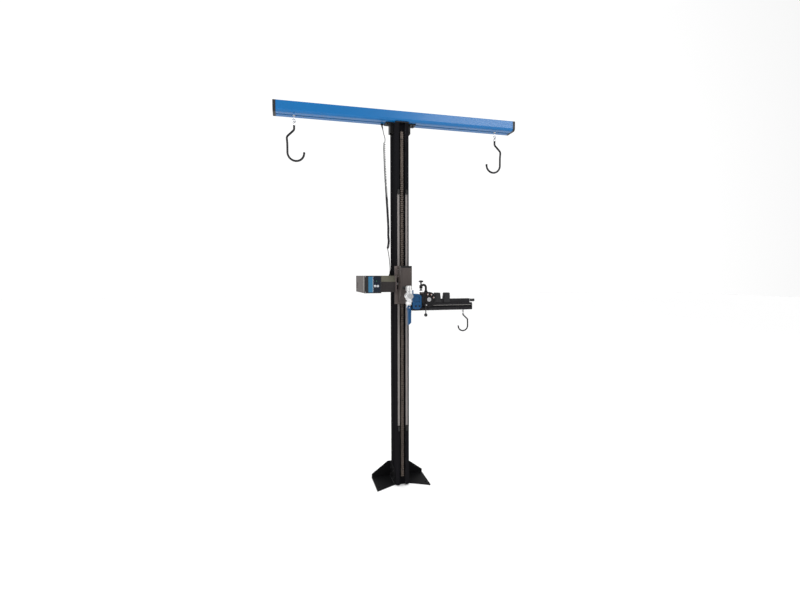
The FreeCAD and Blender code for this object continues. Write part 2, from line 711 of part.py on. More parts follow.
def stub_bolts():
    """The bolts of the stub's flange."""
    return Part.Compound([bolt("Y", (x, CAR_FRONT - 8, z), 15.5, 4.0, 5.0) for x, z in stub_bolt_places()])


def stub_cap():
    """The retaining cap in the stub's open end."""
    disc = rod("Y", (0, -272, TILT_Z), 4, STUB_R + 4)
    return fuse(disc, rod("Y", (0, -268, TILT_Z), 16, 7.0))


# ---------------------------------------------------------------- arm and housing
def arm_tube():
    """The arm from carriage to housing: a folded tube with a sloped upper front."""
    t = 3.0
    outer = [(ARM_BACK, ARM_LOW), (ARM_BACK, ARM_HIGH), (EAR_FRONT + 34, ARM_HIGH),
             (EAR_FRONT, ARM_HIGH - 39), (EAR_FRONT, ARM_LOW)]
    inner = [(ARM_BACK - t, ARM_LOW + t), (ARM_BACK - t, ARM_HIGH - t),
             (EAR_FRONT + 34 + 1.2, ARM_HIGH - t), (EAR_FRONT + t, ARM_HIGH - 39 - 1.2),
             (EAR_FRONT + t, ARM_LOW + t)]
    shell = prism(outer, "YZ", BOX_RIGHT, -CAR_OUTER)
    room = prism(inner, "YZ", BOX_RIGHT - 1, -CAR_OUTER - t)
    shaft_hole = rod("X", (-CAR_OUTER - 5, SHAFT_Y, SHAFT_Z), 10, 12.0)
    panel = block(
        (BOX_RIGHT + 8, -CAR_OUTER - 8), (EAR_FRONT - 1, EAR_FRONT + 1), (ARM_LOW + 8, ARM_HIGH - 45)
    )
    return cut(shell, room, shaft_hole, panel)


def housing_shell():
    """The motor housing's folded wrapper, open at front and back."""
    t = 2.5
    y = (BOX_FRONT + BEZEL_T, BOX_BACK - BACK_COVER_T)
    outer = block((BOX_LEFT, BOX_RIGHT), y, (ARM_LOW, ARM_HIGH))
    upright = [e for e in outer.Edges if abs(e.tangentAt(0).y) > 0.9]
    outer = outer.makeFillet(3.0, upright)
    inner = block((BOX_LEFT + t, BOX_RIGHT - t), (y[0] - 1, y[1] + 1), (ARM_LOW + t, ARM_HIGH - t))
    shaft_hole = rod("X", (BOX_RIGHT - 5, SHAFT_Y, SHAFT_Z), 10, 12.0)
    cable_hole = rod("X", (BOX_RIGHT - 5, -30, SHAFT_Z + 25), 10, 6.0)
    louvres = []
    for i in range(6):
        start = -20 + i * 11
        span = (start, start + 4)
        louvres.append(block((BOX_LEFT - 1, BOX_LEFT + t + 1), span, (ARM_LOW + 24, ARM_HIGH - 40)))
    return cut(outer, inner, shaft_hole, cable_hole, *louvres)


def button_hole(name, play, y):
    """The square way through the front for a push button."""
    half = BUTTON_SIZE / 2 + play
    x = BUTTON_X[name]
    return block((x - half, x + half), y, (BUTTON_Z - half, BUTTON_Z + half))


def housing_bezel():
    """The front frame, with a recess for the stripe and the button panel."""
    frame = block((BOX_LEFT, BOX_RIGHT), (BOX_FRONT, BOX_FRONT + BEZEL_T), (ARM_LOW, ARM_HIGH))
    front = [e for e in frame.Edges if abs(e.CenterOfMass.y - BOX_FRONT) < 0.01]
    frame = frame.makeChamfer(2.2, front)
    recess = block((-260, -188), (BOX_FRONT - 1, BOX_FRONT + 2), (ARM_LOW + 5, ARM_HIGH - 5))
    holes = [button_hole(name, GAP, (BOX_FRONT - 1, BOX_FRONT + BEZEL_T + 1)) for name in BUTTON_X]
    lamp = rod("Y", (-211, BOX_FRONT - 1, 1332), BEZEL_T + 2, 3.0)
    return cut(frame, recess, lamp, *holes)


def stripe_panel():
    """The light stripe inlaid beside the buttons."""
    return block((-260, -232), (BOX_FRONT + 0.6, BOX_FRONT + 2), (ARM_LOW + 5, ARM_HIGH - 5))


def button_panel():
    """The glossy panel round the buttons and the lamp."""
    plate = block((-232, -188), (BOX_FRONT + 0.6, BOX_FRONT + 2), (ARM_LOW + 5, ARM_HIGH - 5))
    holes = [button_hole(name, GAP, (BOX_FRONT - 1, BOX_FRONT + 3)) for name in BUTTON_X]
    return cut(plate, rod("Y", (-211, BOX_FRONT - 1, 1332), 5, 3.0), *holes)


def push_button(name):
    """A square button cap with a flange behind the bezel."""
    x, half = BUTTON_X[name], BUTTON_SIZE / 2
    cap = block((x - half, x + half), (BOX_FRONT - 3, BOX_FRONT + BEZEL_T + 0.1),
                (BUTTON_Z - half, BUTTON_Z + half))
    rim = [e for e in cap.Edges if abs(e.CenterOfMass.y - BOX_FRONT + 3) < 0.01]
    cap = cap.makeChamfer(1.0, rim)
    back = BOX_FRONT + BEZEL_T
    flange = block((x - 7, x + 7), (back + 0.1, back + 2.1), (BUTTON_Z - 7.5, BUTTON_Z + 7.5))
    return fuse(cap, flange)


def status_lamp():
    """The small lamp above the buttons."""
    return fuse(rod("Y", (-211, BOX_FRONT - 0.6, 1332), 8, 3.0),
                rod("Y", (-211, BOX_FRONT + BEZEL_T, 1332), 6, 4.5))


def button_switches():
    """The two switch blocks behind the buttons, on their strip."""
    y = BOX_FRONT + BEZEL_T + 6
    strip = block((-235, -187), (y + 9, y + 11), (BUTTON_Z - 12, BUTTON_Z + 12))
    blocks = [block((x - 6, x + 6), (y, y + 9), (BUTTON_Z - 6, BUTTON_Z + 6)) for x in BUTTON_X.values()]
    return fuse(strip, *blocks)


def housing_rear_cover():
    """The rear lid, cut out for the rocker switch."""
    lid = block((BOX_LEFT, BOX_RIGHT), (BOX_BACK - BACK_COVER_T, BOX_BACK), (ARM_LOW, ARM_HIGH))
    opening = block((-247, -217), (BOX_BACK - 5, BOX_BACK + 1), (1302, 1324))
    holes = [rod("Y", (x, BOX_BACK - 5, z), 8, 2.1) for x, z in lid_screw_places()]
    return cut(lid, opening, *holes)


def lid_screw_places():
    """The rear lid's four screws."""
    return [(x, z) for x in (BOX_LEFT + 9, BOX_RIGHT - 9) for z in (ARM_LOW + 9, ARM_HIGH - 9)]


def lid_screws():
    """Screws of the rear lid."""
    return Part.Compound([bolt("Y", (x, BOX_BACK, z), 10, 2.0, 2.4, -1) for x, z in lid_screw_places()])


def rocker_frame():
    """The rocker switch's body, snapped into the rear lid."""
    body = block((-247, -217), (BOX_BACK - 11, BOX_BACK), (1302, 1324))
    rim = block((-249, -215), (BOX_BACK, BOX_BACK + 2), (1300, 1326))
    pocket = block((-244, -220), (BOX_BACK - 8, BOX_BACK + 3), (1305, 1321))
    return cut(fuse(body, rim), pocket)


def power_rocker():
    """The mains rocker, level at rest, tipping about an upright axis."""
    y = BOX_BACK - 1
    return prism(
        [(-242.5, y - 3), (-221.5, y - 3), (-221.5, y + 4), (-232, y + 1, -242.5, y + 4)],
        "XY", 1305.4, 1320.6,
    )


def gearbox():
    """The right-angle gearbox, bored for the cross shaft."""
    case = block((-268, -196), (SHAFT_Y - 40, SHAFT_Y + 40), (ARM_LOW + 9, ARM_HIGH - 9))
    case = case.makeFillet(6.0, [e for e in case.Edges if abs(e.tangentAt(0).x) > 0.9])
    boss = rod("X", (-196, SHAFT_Y, SHAFT_Z), 8, 20.0)
    bore = rod("X", (-264, SHAFT_Y, SHAFT_Z), 80, SHAFT_R + RUNNING)
    return cut(fuse(case, boss), bore)


def motor():
    """The electric motor on the gearbox's back face."""
    can = rod("Y", (-232, SHAFT_Y + 40, SHAFT_Z), 88, 34.0)
    bell = rod("Y", (-232, SHAFT_Y + 128, SHAFT_Z), 8, 29.0)
    ribs = []
    for i in range(12):
        rib = block((-233.5, -230.5), (SHAFT_Y + 50, SHAFT_Y + 120), (SHAFT_Z + 33, SHAFT_Z + 36.5))
        rib.rotate(Vector(-232, 0, SHAFT_Z), AXIS["Y"], i * 30)
        ribs.append(rib)
    return fuse(can, bell, *ribs)


def control_board():
    """The printed board in the front of the housing, on four posts."""
    board = block((-276, -188), (-246, -142), (ARM_LOW + 12, ARM_LOW + 13.6))
    posts = [rod("Z", (x, y, ARM_LOW + 2.5), 9.5, 3.0) for x in (-271, -193) for y in (-240, -148)]
    return fuse(board, *posts)


def board_parts():
    """Transformer, capacitors and relays on the board."""
    top = ARM_LOW + 13.6
    pieces = [block((-270, -226), (-200, -148), (top, top + 42))]
    pieces += [rod("Z", (-210, y, top), 30, 9.0) for y in (-160, -184)]
    pieces += [block((-218, -196), (y, y + 16), (top, top + 15)) for y in (-240, -218)]
    pieces += [block((-268, -232), (-240, -222), (top, top + 11))]
    return Part.Compound(pieces)


def cord_gland(x, y, face, up):
    """A hexagonal cable gland with a domed nut."""
    sign = 1 if up else -1
    turns = [math.radians(60 * i) for i in range(6)]
    hexagon = [(x + 9.5 * math.cos(a), y + 9.5 * math.sin(a)) for a in turns]
    half = GLAND_LENGTH / 2
    body = prism(hexagon, "XY", *sorted((face, face + sign * half)))
    start = Vector(x, y, face + sign * half)
    dome = Part.makeCone(7.5, 4.5, half, start, AXIS["Z"] * sign)
    return fuse(body, dome)


def limit_switch():
    """The end-of-travel switch beside the rack, with its roller arm."""
    body = block((10, 30), (CAR_FRONT - 20, CAR_FRONT), (CAR_TOP - 55, CAR_TOP - 35))
    arm = block((14, 17), (CAR_FRONT - 23, CAR_FRONT - 20), (CAR_TOP - 53, CAR_TOP - 33))
    return fuse(body, arm)


# ---------------------------------------------------------------- clamp
def tilt_casting():
    """The bright split casting that grips the stub, with a tongue for the cam lever below."""
    y = (CLAMP_Y - 19, CLAMP_Y + 19)
    bar = prism(
        [(-13, 1186), (-13, 1222), (-22, TILT_Z, -13, 1254), (-13, 1296), (-8, 1301), (13, 1301),
         (13, 1254), (19, TILT_Z, 13, 1222), (13, 1186)],
        "XZ", *y,
    )
    pad = block((13, 19), (CLAMP_Y - 16, CLAMP_Y + 16), (1200, 1276))
    tongue = prism(
        [(-11, 1186), (-11, CAM_Z), (0, CAM_Z - 11, 11, CAM_Z), (11, 1186)],
        "XZ", CLAMP_Y - 7, CLAMP_Y + 7,
    )
    bore = rod("Y", (0, y[0] - 1, TILT_Z), 40, STUB_R + RUNNING)
    split = block((-1.2, 1.2), (y[0] - 1, y[1] + 1), (TILT_Z, 1302))
    pin_hole = rod("Y", (0, CLAMP_Y - 20, CAM_Z), 40, 4.0)
    window = prism([(-7, 1263), (7, 1263), (7, 1269), (-7, 1269)], "XZ", y[0] - 1, y[0] + 9)
    rounds = [rod("Y", (0, y[0] - 1, z), 8, 5.0) for z in (1204, 1282)]
    bolt_holes = [rod("X", (-30, CLAMP_Y, z), 80, 3.2) for z in bracket_bolt_heights()]
    return cut(fuse(bar, pad, tongue), bore, split, pin_hole, window, *rounds, *bolt_holes)


def bracket_bolt_heights():
    """Heights of the two bolts from the casting into the bracket."""
    return (1208, 1264)


def clamp_bracket():
    """The painted saddle that hangs the beam from the casting."""
    plate = prism(
        [(19, 1160), (19, 1249), (24, 1251), (56, 1251), (75, 1238), (75, 1172), (62, 1156), (34, 1156),
         (30, 1160)],
        "XZ", CLAMP_Y - 29, CLAMP_Y + 29,
    )
    tall = block((19, 27), (CLAMP_Y - 16, CLAMP_Y + 16), (1248, 1274))
    half = BEAM_HALF_D + GAP
    bed = block((10, 90), (CLAMP_Y - half, CLAMP_Y + half), (1140, BEAM_Z[1] + 0.1))
    pocket = prism([(28, 1200), (28, 1240), (52, 1240), (64, 1230), (64, 1200)], "XZ",
                   CLAMP_Y - 30, CLAMP_Y - 24)
    holes = [rod("X", (18, CLAMP_Y, z), 30, 3.2) for z in bracket_bolt_heights()]
    cross = [rod("Y", (x, CLAMP_Y - 40, 1176), 80, 3.2) for x in (38, 62)]
    return cut(fuse(plate, tall), bed, pocket, *holes, *cross)


def bracket_bolts():
    """The bolts of the bracket: two into the casting, two across the beam."""
    bolts = [bolt("X", (-13, CLAMP_Y, z), 38, 3.0, 4.0) for z in bracket_bolt_heights()]
    bolts += [bolt("Y", (x, CLAMP_Y - 29, 1176), 58, 3.0, 4.0) for x in (38, 62)]
    return Part.Compound(bolts)


def beam():
    """The slotted beam: T-slots on all four sides and a round core."""
    d = BEAM_HALF_D
    z0, z1 = BEAM_Z
    zc = (z0 + z1) / 2
    bar = block(BEAM_X, (CLAMP_Y - d, CLAMP_Y + d), BEAM_Z)
    span = (BEAM_X[0] - 1, BEAM_X[1] + 1)
    tools = [
        t_slot((CLAMP_Y, z0), (0, 1), 4.2, 8, 12, span),
        t_slot((CLAMP_Y, z1), (0, -1), 4.2, 8, 12, span),
        t_slot((CLAMP_Y - d, zc), (1, 0), 4.2, 8, 11, span),
        t_slot((CLAMP_Y + d, zc), (-1, 0), 4.2, 8, 11, span),
    ]
    for z in (z0 + 11.5, z1 - 5.5):
        tools.append(block(span, (CLAMP_Y - d - 1, CLAMP_Y - d + 1.2), (z - 0.8, z + 0.8)))
    tools.append(rod("X", (span[0], CLAMP_Y, zc), span[1] - span[0], 3.4))
    tools += [rod("Y", (x, CLAMP_Y - 40, 1176), 80, 3.2) for x in (38, 62)]
    return cut(bar, *tools)


def beam_end_cap():
    """The moulded cap on the beam's free end, notched at its top."""
    d = BEAM_HALF_D
    cap = prism(
        [(BEAM_X[1], BEAM_Z[0]), (BEAM_X[1] + 4, BEAM_Z[0] + 2), (BEAM_X[1] + 4, BEAM_Z[1] - 8),
         (BEAM_X[1] + 1.5, BEAM_Z[1]), (BEAM_X[1], BEAM_Z[1])],
        "XZ", CLAMP_Y - d, CLAMP_Y + d,
    )
    return cap


def jaw_rail():
    """The channel on the beam that guides the jaws, with the screw's bearing at its end."""
    outer = block(RAIL_X, (CLAMP_Y - 15, CLAMP_Y + 15), (BEAM_Z[1], RAIL_TOP))
    inner = block(
        (RAIL_X[0] - 1, RAIL_X[1] + 1), (CLAMP_Y - 10, CLAMP_Y + 10), (BEAM_Z[1] + 4, RAIL_TOP + 1)
    )
    bearing = block((RAIL_X[1], RAIL_X[1] + 11), (CLAMP_Y - 15, CLAMP_Y + 15), (BEAM_Z[1], RAIL_TOP))
    holes = [rod("Z", (x, CLAMP_Y, BEAM_Z[1] - 1), 8, 2.6) for x in rail_screw_places()]
    holes.append(rod("X", (RAIL_X[1] - 1, CLAMP_Y, JAW_SCREW_Z), 14, JAW_SCREW_R + RUNNING))
    return cut(fuse(cut(outer, inner), bearing), *holes)


def rail_screw_places():
    """Screws that hold the rail to the beam's top slot."""
    return (156, 290, 340, 382)


def rail_screws():
    """Flat screws in the rail's floor, each into a nut in the beam's slot."""
    screws = []
    for x in rail_screw_places():
        shank = rod("Z", (x, CLAMP_Y, BEAM_Z[1] - 8), 12, 2.5)
        head = rod("Z", (x, CLAMP_Y, BEAM_Z[1] + 4), 1.6, 4.5)
        nut = block((x - 6, x + 6), (CLAMP_Y - 7.5, CLAMP_Y + 7.5), (BEAM_Z[1] - 10, BEAM_Z[1] - 5))
        screws.append(fuse(shank, head, nut))
    return Part.Compound(screws)


def jaw(left_low, left_high, right_high, right_low, bore_r):
    """A jaw block astride the rail, with a tongue round the screw inside the channel."""
    low = RAIL_TOP - 22
    side = prism([(left_low, low), (left_high, JAW_TOP), (right_high, JAW_TOP), (right_low, low)],
                 "XZ", CLAMP_Y - JAW_HALF_D, CLAMP_Y + JAW_HALF_D)
    side = side.makeChamfer(2.0, [e for e in side.Edges if abs(e.CenterOfMass.z - JAW_TOP) < 0.01])
    width = (min(left_low, left_high) - 1, max(right_low, right_high) + 1)
    lane = fuse(
        block(width, (CLAMP_Y - 15.3, CLAMP_Y - 9.7), (low - 1, RAIL_TOP + GAP)),
        block(width, (CLAMP_Y + 9.7, CLAMP_Y + 15.3), (low - 1, RAIL_TOP + GAP)),
        block(width, (CLAMP_Y - 10, CLAMP_Y + 10), (low - 1, BEAM_Z[1] + 6.4)),
    )
    bore = rod("X", (width[0], CLAMP_Y, JAW_SCREW_Z), width[1] - width[0], bore_r)
    return cut(side, lane, bore)


def fixed_jaw():
    """The jaw that stays by the head; the screw's end turns in it."""
    return jaw(166, 170, 199, 207, JAW_SCREW_R + RUNNING)


def moving_jaw():
    """The jaw that the screw moves."""
    return jaw(224, 232, 263, 265, JAW_SCREW_R + RUNNING)


def jaw_screw():
    """The long screw of the jaws, with a collar each side of its end block."""
    shank = rod("X", (170, CLAMP_Y, JAW_SCREW_Z), 240, JAW_SCREW_R)
    collars = [rod("X", (x, CLAMP_Y, JAW_SCREW_Z), 4, 8.0) for x in (RAIL_X[1] - 4.3, RAIL_X[1] + 11.3)]
    return fuse(shank, *collars)


def jaw_knob():
    """The fluted knob at the screw's end."""
    x = RAIL_X[1] + 16
    body = rod("X", (x, CLAMP_Y, JAW_SCREW_Z), 33, 9.0)
    ends = [e for e in body.Edges if e.Curve.TypeId == "Part::GeomCircle"]
    body = body.makeChamfer(1.5, ends)
    flutes = []
    for i in range(10):
        flute = rod("X", (x - 1, CLAMP_Y + 10.2, JAW_SCREW_Z), 35, 2.2)
        flute.rotate(Vector(0, CLAMP_Y, JAW_SCREW_Z), AXIS["X"], i * 36)
        flutes.append(flute)
    return cut(body, rod("X", (x - 1, CLAMP_Y, JAW_SCREW_Z), 410 - x + 1, JAW_SCREW_R), *flutes)


def cradle_head():
    """The round cast head on the beam, with a shoulder for the seat and a socket for the post."""
    y = (CLAMP_Y - 31, CLAMP_Y + 31)
    drum = rod("Y", (HEAD_X, y[0], HEAD_Z), 62, HEAD_R)
    shoulder = block((75.3, 104), (CLAMP_Y - 20, CLAMP_Y + 20), (BEAM_Z[1] + 2, 1250))
    socket_boss = rod("Z", (POST_X, CLAMP_Y, 1240), 24, 12.0)
    half = BEAM_HALF_D + GAP
    bed = block((60, 180), (CLAMP_Y - half, CLAMP_Y + half), (1140, BEAM_Z[1] + 0.1))
    rail_way = block((RAIL_X[0] - 6, 180), (CLAMP_Y - 26, CLAMP_Y + 26), (BEAM_Z[1] - 1, 1262))
    jaw_way = block((162, 180), (CLAMP_Y - 40, CLAMP_Y + 40), (BEAM_Z[1] - 1, 1262))
    post = rod("Z", (POST_X, CLAMP_Y, 1222), 60, 7.0 + RUNNING)
    island = rod("Y", (HEAD_X, y[0] - 2, HEAD_Z), 8, 27.0)
    recess = cut(rod("Y", (HEAD_X, y[0] - 1, HEAD_Z), 4, 38.0), island)
    hub = rod("Y", (HEAD_X, y[0] - 1, HEAD_Z), 14, 9.0)
    stud = rod("Y", (LOCK_X, CLAMP_Y - 40, LOCK_Z), 18, 4.0)
    seat_step = block((60, 97), (CLAMP_Y - 40, CLAMP_Y + 40), (1250, 1280))
    cast = cut(fuse(drum, shoulder), seat_step)
    return cut(fuse(cast, socket_boss), bed, rail_way, jaw_way, post, recess, hub, stud)


def head_cap():
    """The bright hub cap in the head's front."""
    y = CLAMP_Y - 31
    cap = fuse(rod("Y", (HEAD_X, y - 2.5, HEAD_Z), 10, 9.0), rod("Y", (HEAD_X, y - 4.5, HEAD_Z), 2, 13.0))
    return cut(cap, rod("Y", (HEAD_X, y - 6, HEAD_Z), 4, 4.0))


def head_pins():
    """Three bright pins in the recess of the head's upper front."""
    pins = []
    for angle in (20, 62, 104):
        x = HEAD_X + 33 * math.cos(math.radians(angle))
        z = HEAD_Z + 33 * math.sin(math.radians(angle))
        pins.append(rod("Y", (x, CLAMP_Y - 36, z), 8, 4.0))
    return Part.Compound(pins)


def head_washers():
    """The washers under the head's pins."""
    washers = []
    for angle in (20, 62, 104):
        x = HEAD_X + 33 * math.cos(math.radians(angle))
        z = HEAD_Z + 33 * math.sin(math.radians(angle))
        disc = cut(rod("Y", (x, CLAMP_Y - 31, z), 3, 5.0), rod("Y", (x, CLAMP_Y - 37, z), 12, 4.0))
        washers.append(disc)
    return Part.Compound(washers)


def cradle_seat():
    """The bright seat with a shallow V on the head's shoulder."""
    return prism([(76, 1250), (76, 1262), (SEAT_X + 6, 1257), (96, 1262), (96, 1250)], "XZ",
                 CLAMP_Y - 18, CLAMP_Y + 18)


def hold_down_arm():
    """The goose-necked arm: a post in the head, an arch and a threaded boss."""
    arch = (POST_X - SEAT_X) / 2
    high = 1290.0
    legs = [
        Part.LineSegment(Vector(POST_X, CLAMP_Y, 1224), Vector(POST_X, CLAMP_Y, high)),
        Part.Arc(Vector(POST_X, CLAMP_Y, high), Vector(POST_X - arch, CLAMP_Y, high + arch),
                 Vector(SEAT_X, CLAMP_Y, high)),
    ]
    neck = sweep(Part.Wire([leg.toShape() for leg in legs]), 7.0)
    boss = rod("Z", (SEAT_X, CLAMP_Y, 1284), 20, 10.0)
    collar = rod("Z", (POST_X, CLAMP_Y, 1264.3), 6, 10.5)
    thread = rod("Z", (SEAT_X, CLAMP_Y, 1280), 40, 4.5 + RUNNING)
    return cut(fuse(neck, boss, collar), thread)


def hold_down_foot():
    """The swivelling foot under the hold-down screw."""
    foot = rod("Z", (SEAT_X, CLAMP_Y, 1270), 7, 9.0)
    return cut(foot, rod("Z", (SEAT_X, CLAMP_Y, 1273), 5, 4.5 + RUNNING))


def hold_down_screw():
    """The hold-down screw with its T-handle."""
    spindle = rod("Z", (SEAT_X, CLAMP_Y, 1273.1), 54, 4.5)
    hub = rod("Z", (SEAT_X, CLAMP_Y, HANDLE_Z - 7), 13, 7.5)
    bar = rod("X", (SEAT_X - HANDLE_REACH, CLAMP_Y, HANDLE_Z), 2 * HANDLE_REACH, 4.5)
    ends = [e for e in bar.Edges if e.Curve.TypeId == "Part::GeomCircle"]
    return fuse(spindle, hub, bar.makeChamfer(1.0, ends))


def lever_stud():
    """The stud of the lock lever in the head's front."""
    return rod("Y", (LOCK_X, CLAMP_Y - 52, LOCK_Z), 30, 4.0)


def lock_lever():
    """The lock lever: hub, rod and ball."""
    hub = rod("Y", (LOCK_X, CLAMP_Y - 48, LOCK_Z), 16, 9.0)
    stem = rod("Z", (LOCK_X, CLAMP_Y - 40, LOCK_Z - 54), 50, 3.0)
    ball = Part.makeSphere(10.5, Vector(LOCK_X, CLAMP_Y - 40, LOCK_Z - 62))
    return cut(fuse(hub, stem, ball), rod("Y", (LOCK_X, CLAMP_Y - 60, LOCK_Z), 40, 4.0 + RUNNING))


def cam_pin():
    """The pin of the cam lever, held in the casting's tongue."""
    return rod("Y", (0, CLAMP_Y - 18, CAM_Z), 36, 4.0)


def cam_lever():
    """The painted cam lever, forked round the casting's tongue and hanging down."""
    body = prism(
        [(-5, 1150), (-11, CAM_Z - 6), (-10, CAM_Z + 8, 0, CAM_Z + 13), (12, CAM_Z + 5, 14, CAM_Z - 6),
         (14, 1072), (-4, 1057)],
        "XZ", CLAMP_Y - 15, CLAMP_Y + 15,
    )
    fork = block((-30, 30), (CLAMP_Y - 7.4, CLAMP_Y + 7.4), (CAM_Z - 12.5, CAM_Z + 30))
    slim = [block((-30, 30), sorted((CLAMP_Y + s * 11, CLAMP_Y + s * 30)), (1040, 1138)) for s in (-1, 1)]
    hole = rod("Y", (0, CLAMP_Y - 30, CAM_Z), 60, 4.0 + RUNNING)
    return cut(body, fork, hole, *slim)


# ---------------------------------------------------------------- curly cord
def cord_tube(name, route, diameter):
    """One stretch of the cord's envelope; prints its arcs and compares its volume."""
    path, radii = rounded_path(route, lambda i, turn, shorter: 0.45 * shorter / math.tan(turn / 2))
    tube = sweep(path, diameter / 2)
    expected = math.pi * diameter ** 2 / 4 * path.Length
    ratio = round(tube.Volume / expected, 4)
    print(name, "arc radii mm:", [round(r) for r in radii], "volume ratio", ratio)
    return tube


# ---------------------------------------------------------------- table of sub-parts
def sub_parts():
    """Every node's name and shape."""
    nodes = {
        "floor_base": floor_base(),
        "mast": mast(),
        "gear_rack": gear_rack(),
        "mast_fasteners": Part.Compound([base_bolts(), rack_screws(), bar_bolts(), bar_t_nuts()]),
        "travel_stops": Part.Compound([travel_stop(340), travel_stop(1885)]),
        "bar_saddle": bar_saddle(),
        "top_bar": top_bar(),
        "bar_end_caps": Part.Compound([bar_end_cap(-1), bar_end_cap(1)]),
        "bar_eyebolts": Part.Compound([bar_eyebolt(-1), bar_eyebolt(1)]),
        "upper_cord_gland": cord_gland(*UPPER_GLAND, BAR_BOTTOM, False),
        "cord_top_lead": cord_tube("cord_top_lead", TOP_LEAD, LEAD_D),
        "cord_coil": cord_tube("cord_coil", COIL_ROUTE, COIL_D),
        "cord_low_lead": cord_tube("cord_low_lead", LOW_LEAD, LEAD_D),
        "left_hook": bar_hook(-1),
        "right_hook": bar_hook(1),
        "carriage_frame": carriage_frame(),
        "glide_pads": Part.Compound([side_glides(), front_glides()]),
        "front_cover": front_cover(),
        "carriage_screws": Part.Compound([cover_screws(), stub_bolts(), lid_screws()]),
        "shaft_bearings": shaft_bearings(),
        "limit_switch": limit_switch(),
        "tilt_stub": tilt_stub(),
        "arm_tube": arm_tube(),
        "lower_cord_gland": cord_gland(*LOWER_GLAND, ARM_HIGH, True),
        "housing_shell": housing_shell(),
        "housing_bezel": housing_bezel(),
        "stripe_panel": stripe_panel(),
        "button_panel": button_panel(),
        "status_lamp": status_lamp(),
        "housing_rear_cover": housing_rear_cover(),
        "rocker_frame": rocker_frame(),
        "power_rocker": power_rocker(),
        "gearbox": gearbox(),
        "motor": motor(),
        "control_board": Part.Compound([control_board(), board_parts(), button_switches()]),
        "drive_shaft": drive_shaft(),
        "pinion": pinion(),
        "up_button": push_button("up"),
        "down_button": push_button("down"),
        "tilt_casting": tilt_casting(),
        "clamp_pins": Part.Compound([cam_pin(), lever_stud(), head_cap(), head_pins()]),
        "cam_lever": cam_lever(),
        "clamp_bracket": clamp_bracket(),
        "clamp_screws": Part.Compound([bracket_bolts(), rail_screws()]),
        "beam": beam(),
        "beam_end_cap": beam_end_cap(),
        "jaw_rail": jaw_rail(),
        "fixed_jaw": fixed_jaw(),
        "moving_jaw": moving_jaw(),
        "jaw_screw": jaw_screw(),
        "jaw_knob": jaw_knob(),
        "cradle_head": cradle_head(),
        "cradle_seat": cradle_seat(),
        "head_washers": head_washers(),
        "hold_down_arm": hold_down_arm(),
        "hold_down_foot": hold_down_foot(),
        "hold_down_screw": hold_down_screw(),
        "lock_lever": lock_lever(),
        "beam_eyebolt": beam_eyebolt(),
        "beam_hook": beam_hook(),
    }
    return nodes


def main():
    """Write one STEP file for each sub-part."""
    os.makedirs("parts", exist_ok=True)
    nodes = sub_parts()
    for name, shape in nodes.items():
        shape = shape.translated(Vector(0, 0, -FLOOR_Z))
        bad = [s for s in shape.Solids if not s.isValid()]
        print(f"{name:20s} solids {len(shape.Solids)} volume {shape.Volume / 1000:9.1f} cm3",
              "INVALID" if bad or not shape.Solids else "")
        shape.exportStep(f"parts/{name}.step")
    print("nodes", len(nodes))


main()
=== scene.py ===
"""Looks of the floor-bolted bicycle repair stand: camera, curly cord, materials, small details and studio."""

import json
import math

import bmesh
import bpy
from mathutils import Matrix, Vector


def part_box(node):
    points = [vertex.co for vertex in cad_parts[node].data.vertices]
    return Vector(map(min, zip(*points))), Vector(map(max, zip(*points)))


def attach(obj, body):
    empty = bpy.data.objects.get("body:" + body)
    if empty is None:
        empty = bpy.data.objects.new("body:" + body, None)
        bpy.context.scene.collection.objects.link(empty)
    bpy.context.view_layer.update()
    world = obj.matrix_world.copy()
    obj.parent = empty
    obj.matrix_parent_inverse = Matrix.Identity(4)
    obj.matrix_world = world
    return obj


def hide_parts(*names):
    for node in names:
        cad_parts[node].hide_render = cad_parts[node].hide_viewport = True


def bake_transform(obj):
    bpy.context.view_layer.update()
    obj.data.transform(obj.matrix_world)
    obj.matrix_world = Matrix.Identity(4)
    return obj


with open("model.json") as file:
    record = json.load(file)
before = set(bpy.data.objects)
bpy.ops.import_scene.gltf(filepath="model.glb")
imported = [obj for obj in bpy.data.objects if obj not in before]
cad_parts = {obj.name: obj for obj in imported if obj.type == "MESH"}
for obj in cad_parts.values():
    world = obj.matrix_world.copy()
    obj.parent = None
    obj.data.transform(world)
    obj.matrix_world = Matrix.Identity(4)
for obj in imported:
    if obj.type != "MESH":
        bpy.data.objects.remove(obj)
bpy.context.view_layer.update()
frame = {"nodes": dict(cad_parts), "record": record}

NODES = frame["nodes"]

# ---------------------------------------------------------------- sizes, in metres
CAMERA_PLACE = (-0.728, -2.854, 1.400)
CAMERA_HEADING = math.radians(-14.34)
CAMERA_PITCH = math.radians(-3.18)
CAMERA_ROLL = math.radians(-0.13)
CAMERA_LENS_MM = 19.89

WIRE_D = 0.0048
COIL_D = 0.016
TOP_LEAD = [
    (-0.115, 0.005, 2.366), (-0.109, 0.004, 2.343), (-0.105, 0.002, 2.316), (-0.095, 0.000, 2.287),
    (-0.100, -0.001, 2.265),
]
COIL_ROUTE = [
    (-0.100, -0.001, 2.265), (-0.103, -0.002, 2.221), (-0.100, -0.003, 2.148), (-0.097, -0.004, 2.060),
    (-0.092, -0.005, 1.971), (-0.087, -0.006, 1.885), (-0.082, -0.006, 1.800), (-0.077, -0.006, 1.705),
    (-0.079, -0.006, 1.657), (-0.073, -0.006, 1.615), (-0.084, -0.006, 1.572),
]
LOW_LEAD = [
    (-0.084, -0.006, 1.572), (-0.076, -0.006, 1.539), (-0.070, -0.006, 1.490), (-0.067, -0.006, 1.445),
    (-0.067, -0.006, 1.413),
]
OPEN_PITCH = 0.0128
CLOSED_PITCH = 0.0050
OPEN_STRETCH = 0.36
POINTS_PER_TURN = 12
RELIEF_LENGTH = 0.022
RELIEF_RIBS = 5
GUSSET_T = 0.008
